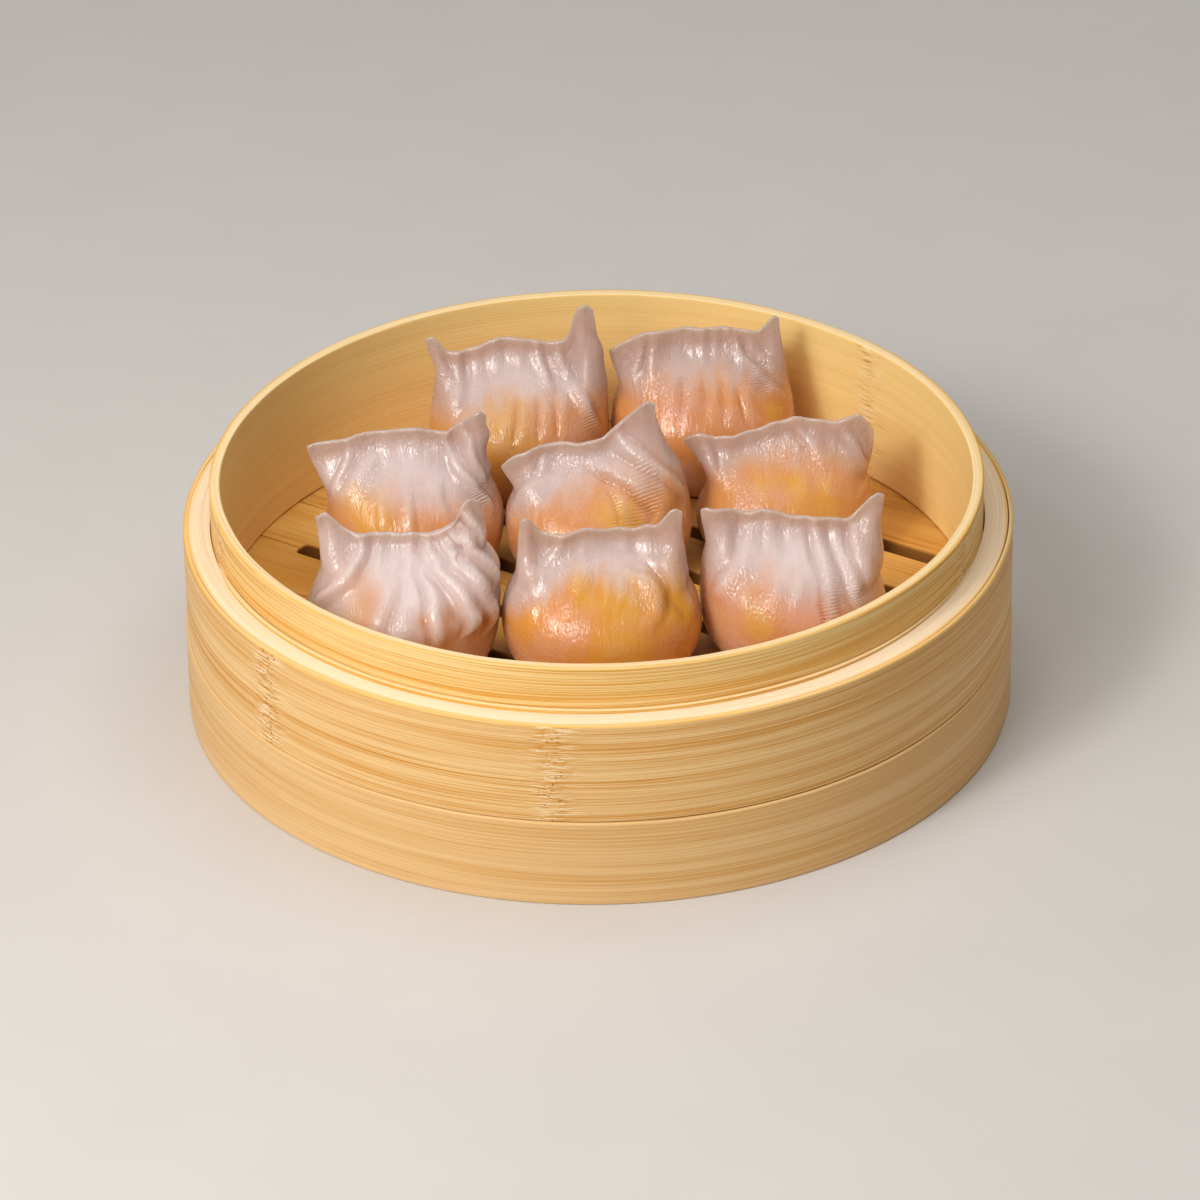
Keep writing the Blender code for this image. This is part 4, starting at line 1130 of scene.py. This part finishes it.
def closing_rings(skin):
    """Rings that close the skin: shrinking ones under the foot, and a rounded cap along the crest."""
    foot, last = skin[0], skin[-1]
    heart = foot.mean(axis=0)
    under = [heart + (foot - heart) * share for share in np.linspace(0.0, 1.0, FOOT_RINGS + 1)[:-1]]
    middle = (last + last[(-np.arange(AROUND)) % AROUND]) / 2.0
    cap = []
    for k in range(1, CAP_LEVELS + 1):
        angle = math.pi / 2.0 * k / CAP_LEVELS
        ring = middle + (last - middle) * math.cos(angle)
        cap.append(ring + np.array([0.0, 0.0, CAP_RISE * math.sin(angle)]))
    return np.array(under), np.array(cap)


def skin_faces(rings):
    """Faces of the grid: its first ring is one point, and its last is folded flat on itself.

    Returns the grid points in use, the triangles of the first ring and the squares of the rest.
    """
    index = np.arange(rings * AROUND).reshape(rings, AROUND)
    index[0] = index[0, 0]
    mirrored = np.minimum(np.arange(AROUND), (-np.arange(AROUND)) % AROUND)
    index[-1] = index[-1, mirrored]
    right = np.roll(index, -1, axis=1)
    quads = np.stack([index[:-1], right[:-1], right[1:], index[1:]], axis=-1).reshape(-1, 4)
    fan = quads[:AROUND][:, [0, 2, 3]]
    corners = np.concatenate([fan.ravel(), quads[AROUND:].ravel()])
    used, faces = np.unique(corners, return_inverse=True)
    triangles = faces[: fan.size].reshape(-1, 3).tolist()
    return used, triangles, faces[fan.size :].reshape(-1, 4).tolist()


def moved_to_node(grid, points, node):
    """The grid in metres, shifted so that the bag stands in the middle of its CAD node's box."""
    low_corner, high_corner = (np.array(corner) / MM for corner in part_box(node))
    bag_low, bag_high = points.min(axis=(0, 1)), points.max(axis=(0, 1))
    shift = (low_corner + high_corner - bag_low - bag_high) / 2.0
    shift[2] = low_corner[2] - bag_low[2]
    return (grid + shift) * MM


def add_dumpling(node, form, material, seed):
    """One finished dumpling: bag, folds, dents and crest cap, with the numbers its finish reads."""
    v = skin_levels(middle_sizes(form)[1])
    turn = 2.0 * math.pi * np.arange(AROUND)[None, :] / AROUND
    across = np.cos(turn)
    points = bag(form, v, turn)
    lengths = ring_lengths(points)
    front_line = points[:, 3 * AROUND // 4]
    rise = np.concatenate([[0.0], np.cumsum(np.linalg.norm(np.diff(front_line, axis=0), axis=1))])

    steps = np.linalg.norm(np.roll(points, -1, axis=1) - points, axis=-1)
    folds = fold_heights(form, v, lengths, steps.sum(axis=1, keepdims=True), rise)
    dents = bumps(points, seed, 16.0) * 0.12 * ease(v / 0.15) * (1.0 - 0.6 * ease((v - 0.75) / 0.2))
    gathers = bumps(points * (2.6, 1.0, 0.35), seed + 1, 9.0) * 0.06 * ease((v - 0.5) / 0.25)
    out = (folds + dents + gathers) * ease(v / 0.06) * (1.0 - 0.7 * ease((np.abs(across) - 0.93) / 0.07))
    shaped = points + normals_of(points) * out[..., None]
    along = points * (1.0, 0.0, 0.0)
    thin = ease((v - 0.65) / 0.35)
    shaped[..., 1] += (bumps(along, seed + 4, 12.0) * 0.5 + bumps(along, seed + 6, 4.0) * 0.16) * thin
    shaped[..., 2] += bumps(along, seed + 2, 7.0) * 0.25 * ease((v - 0.8) / 0.2)

    values = skin_values(form, points, v, turn, lengths, rise, folds, out, seed)
    under, cap = closing_rings(shaped)
    grid = moved_to_node(np.concatenate([under, shaped, cap]), points, node)
    used, triangles, squares = skin_faces(len(grid))
    for key, field in values.items():
        padded = np.pad(field, ((FOOT_RINGS, CAP_LEVELS), (0, 0)), mode="edge")
        values[key] = padded.reshape(-1)[used]
    name = node.replace("dumpling", "har_gow")
    corners = grid.reshape(-1, 3)[used].tolist()
    piece = add_piece(name, corners, triangles + squares, material, values, [node])
    count = 2 * len(squares) + len(triangles)
    print(name, count, "triangles, folds up to", round(float(folds.max()), 2), "mm")
    return piece


# %% [markdown]
# ## Dumpling skin
# Wheat and tapioca starch turns clear when it is steamed. Where the dough is folded thick it is milky,
# in the crest it is clear and greyish, and over the filling it shows the prawn's orange, golden where
# fat lies under it. The surface is wet, with a fine gathered grain that breaks the highlights up. The
# numbers stored on the mesh say where each of these lies, and noise makes their borders uneven.


# %% Dumpling finish
def dumpling_finish():
    """Milky dough over orange filling, mixed by the stored filling, fold, clear and tint values, with painted
    shade darkening the fold valleys.
    """
    recipe = Recipe("dumpling_skin")
    place = recipe.place()
    filling, fold, clear = (recipe.attribute(key) for key in ("filling", "fold", "clear"))
    tint, ripple = recipe.attribute("tint"), recipe.attribute("ripple")
    up_way = recipe.attribute("up_way")
    side = recipe.axis(0)
    patches = recipe.noise(place, 95.0, 2.0, 0.5)
    mottle = recipe.noise(place, 420.0, 3.0, 0.6)
    threads = recipe.node("ShaderNodeCombineXYZ", {}, {0: side * 800.0, 1: up_way * 150.0})
    streaks = recipe.noise(threads, 1.0, 2.0, 0.5)
    beads = recipe.node("ShaderNodeCombineXYZ", {}, {0: side * 1700.0, 1: up_way * 850.0})
    beads = recipe.noise(beads, 1.0, 1.0)

    milky, glassy = srgb(217, 201, 199), srgb(190, 162, 151)
    orange, golden, salmon = srgb(214, 146, 80), srgb(216, 158, 60), srgb(216, 150, 110)
    # deep is the colour of the painted shade in the fold valleys.
    deep = srgb(184, 116, 58)
    lean = tint + (patches - 0.5) * 2.0
    prawn = recipe.mix(recipe.ramp(lean, 0.0, 1.1), orange, salmon)
    prawn = recipe.mix(recipe.ramp(lean, 0.0, -1.1), prawn, golden)
    prawn = recipe.mix(recipe.ramp(patches, 0.4, 0.75) * 0.2, prawn, milky)
    dough = recipe.mix(clear + (patches - 0.5) * 0.25, milky, glassy)
    ridge = recipe.ramp(fold, 0.05, 0.6)
    valley = recipe.ramp(fold, -0.06, -0.38)
    shows = filling * (1.0 - 0.4 * ridge)
    colour = recipe.mix(shows, dough, prawn)
    colour = recipe.mix(ridge * (1.0 - filling) * 0.4, colour, milky)
    # Painted shade: the fold valleys are darkened towards deep orange-brown, more where the filling shows.
    colour = recipe.mix(valley * (0.07 + 0.4 * filling), colour, deep)

    gathered = up_way * 7000.0 + (patches + mottle) * 6.0
    wave = recipe.node("ShaderNodeMath", {"operation": "SINE"}, {0: gathered})
    beaded = beads * (recipe.ramp(patches, 0.44, 0.64, 0.35, 1.2) + ridge * 0.8)
    grain = mottle * 0.1 + streaks * (clear * 0.5 + 0.4) + beaded + wave * ripple * 0.75
    return recipe.finish(
        {
            "Subsurface Weight": 0.8,
            "Subsurface Radius": (1.0, 0.8, 0.65),
            "Subsurface Scale": 0.008,
            "Specular IOR Level": 0.55,
            "IOR": 1.45,
            "Sheen Weight": 0.12,
            "Sheen Roughness": 0.35,
            "Sheen Tint": (1.0, 0.9, 0.86, 1.0),
        },
        Base_Color=colour,
        Roughness=recipe.ramp(mottle, 0.3, 0.75, 0.15, 0.3),
        Normal=recipe.bump(grain, 0.26 * MM),
    )


# %% Dumplings
dumpling_skin = dumpling_finish()
for number, (node, form) in enumerate(DUMPLINGS.items()):
    add_dumpling(node, form, dumpling_skin, 100 + 10 * number)

# %% [markdown]
# ## Table and light
# Food is lit by one large soft window from the front left, high enough to shine on the wet tops. A
# brighter pane in its middle gives crisp glints, and a soft ceiling lamp and a weak glow from
# everywhere keep the shaded side open. The table is a plain pale sheet.


# %% Stage
TABLE_HALF = 4.0
LAMP_AIM = (0.0, 0.0, 0.03)
WINDOW_PLACE = (-0.54, -0.65, 0.73)
WINDOW_COLOUR = (1.0, 0.97, 0.94)
GLOW_COLOUR = (1.0, 0.94, 0.87, 1.0)
GLOW_STRENGTH = 0.22


def add_table():
    """A large pale sheet under the basket."""
    mesh = bpy.data.meshes.new("table")
    half = TABLE_HALF
    corners = [(-half, -half, 0.0), (half, -half, 0.0), (half, half, 0.0), (-half, half, 0.0)]
    mesh.from_pydata(corners, [], [(0, 1, 2, 3)])
    table = bpy.data.objects.new("table", mesh)
    bpy.context.scene.collection.objects.link(table)
    recipe = Recipe("table")
    mottled = recipe.noise(recipe.place(), 30.0)
    colour = recipe.mix(mottled, srgb(212, 209, 206), srgb(207, 204, 201))
    mesh.materials.append(recipe.finish({"Roughness": 0.7, "Specular IOR Level": 0.2}, Base_Color=colour))


def add_light(name, place, side, watts, colour):
    """A square lamp at a place, facing the basket."""
    lamp = bpy.data.objects.new(name, bpy.data.lights.new(name, "AREA"))
    bpy.context.scene.collection.objects.link(lamp)
    lamp.data.shape = "RECTANGLE"
    lamp.data.size = lamp.data.size_y = side
    lamp.data.energy = watts
    lamp.data.color = colour
    lamp.location = place
    lamp.rotation_euler = (Vector(LAMP_AIM) - Vector(place)).to_track_quat("-Z", "Y").to_euler()
    return lamp


add_table()
add_light("window", WINDOW_PLACE, 0.7, 6.8, WINDOW_COLOUR)
add_light("bright_pane", WINDOW_PLACE, 0.2, 3.6, WINDOW_COLOUR)
add_light("ceiling", (0.2, 0.05, 1.2), 1.0, 5.2, (1.0, 0.99, 0.97))
world = bpy.data.worlds.new("room")
world.use_nodes = True
glow = world.node_tree.nodes["Background"]
glow.inputs["Color"].default_value = GLOW_COLOUR
glow.inputs["Strength"].default_value = GLOW_STRENGTH
bpy.context.scene.world = world
bpy.context.scene.view_settings.view_transform = "Standard"
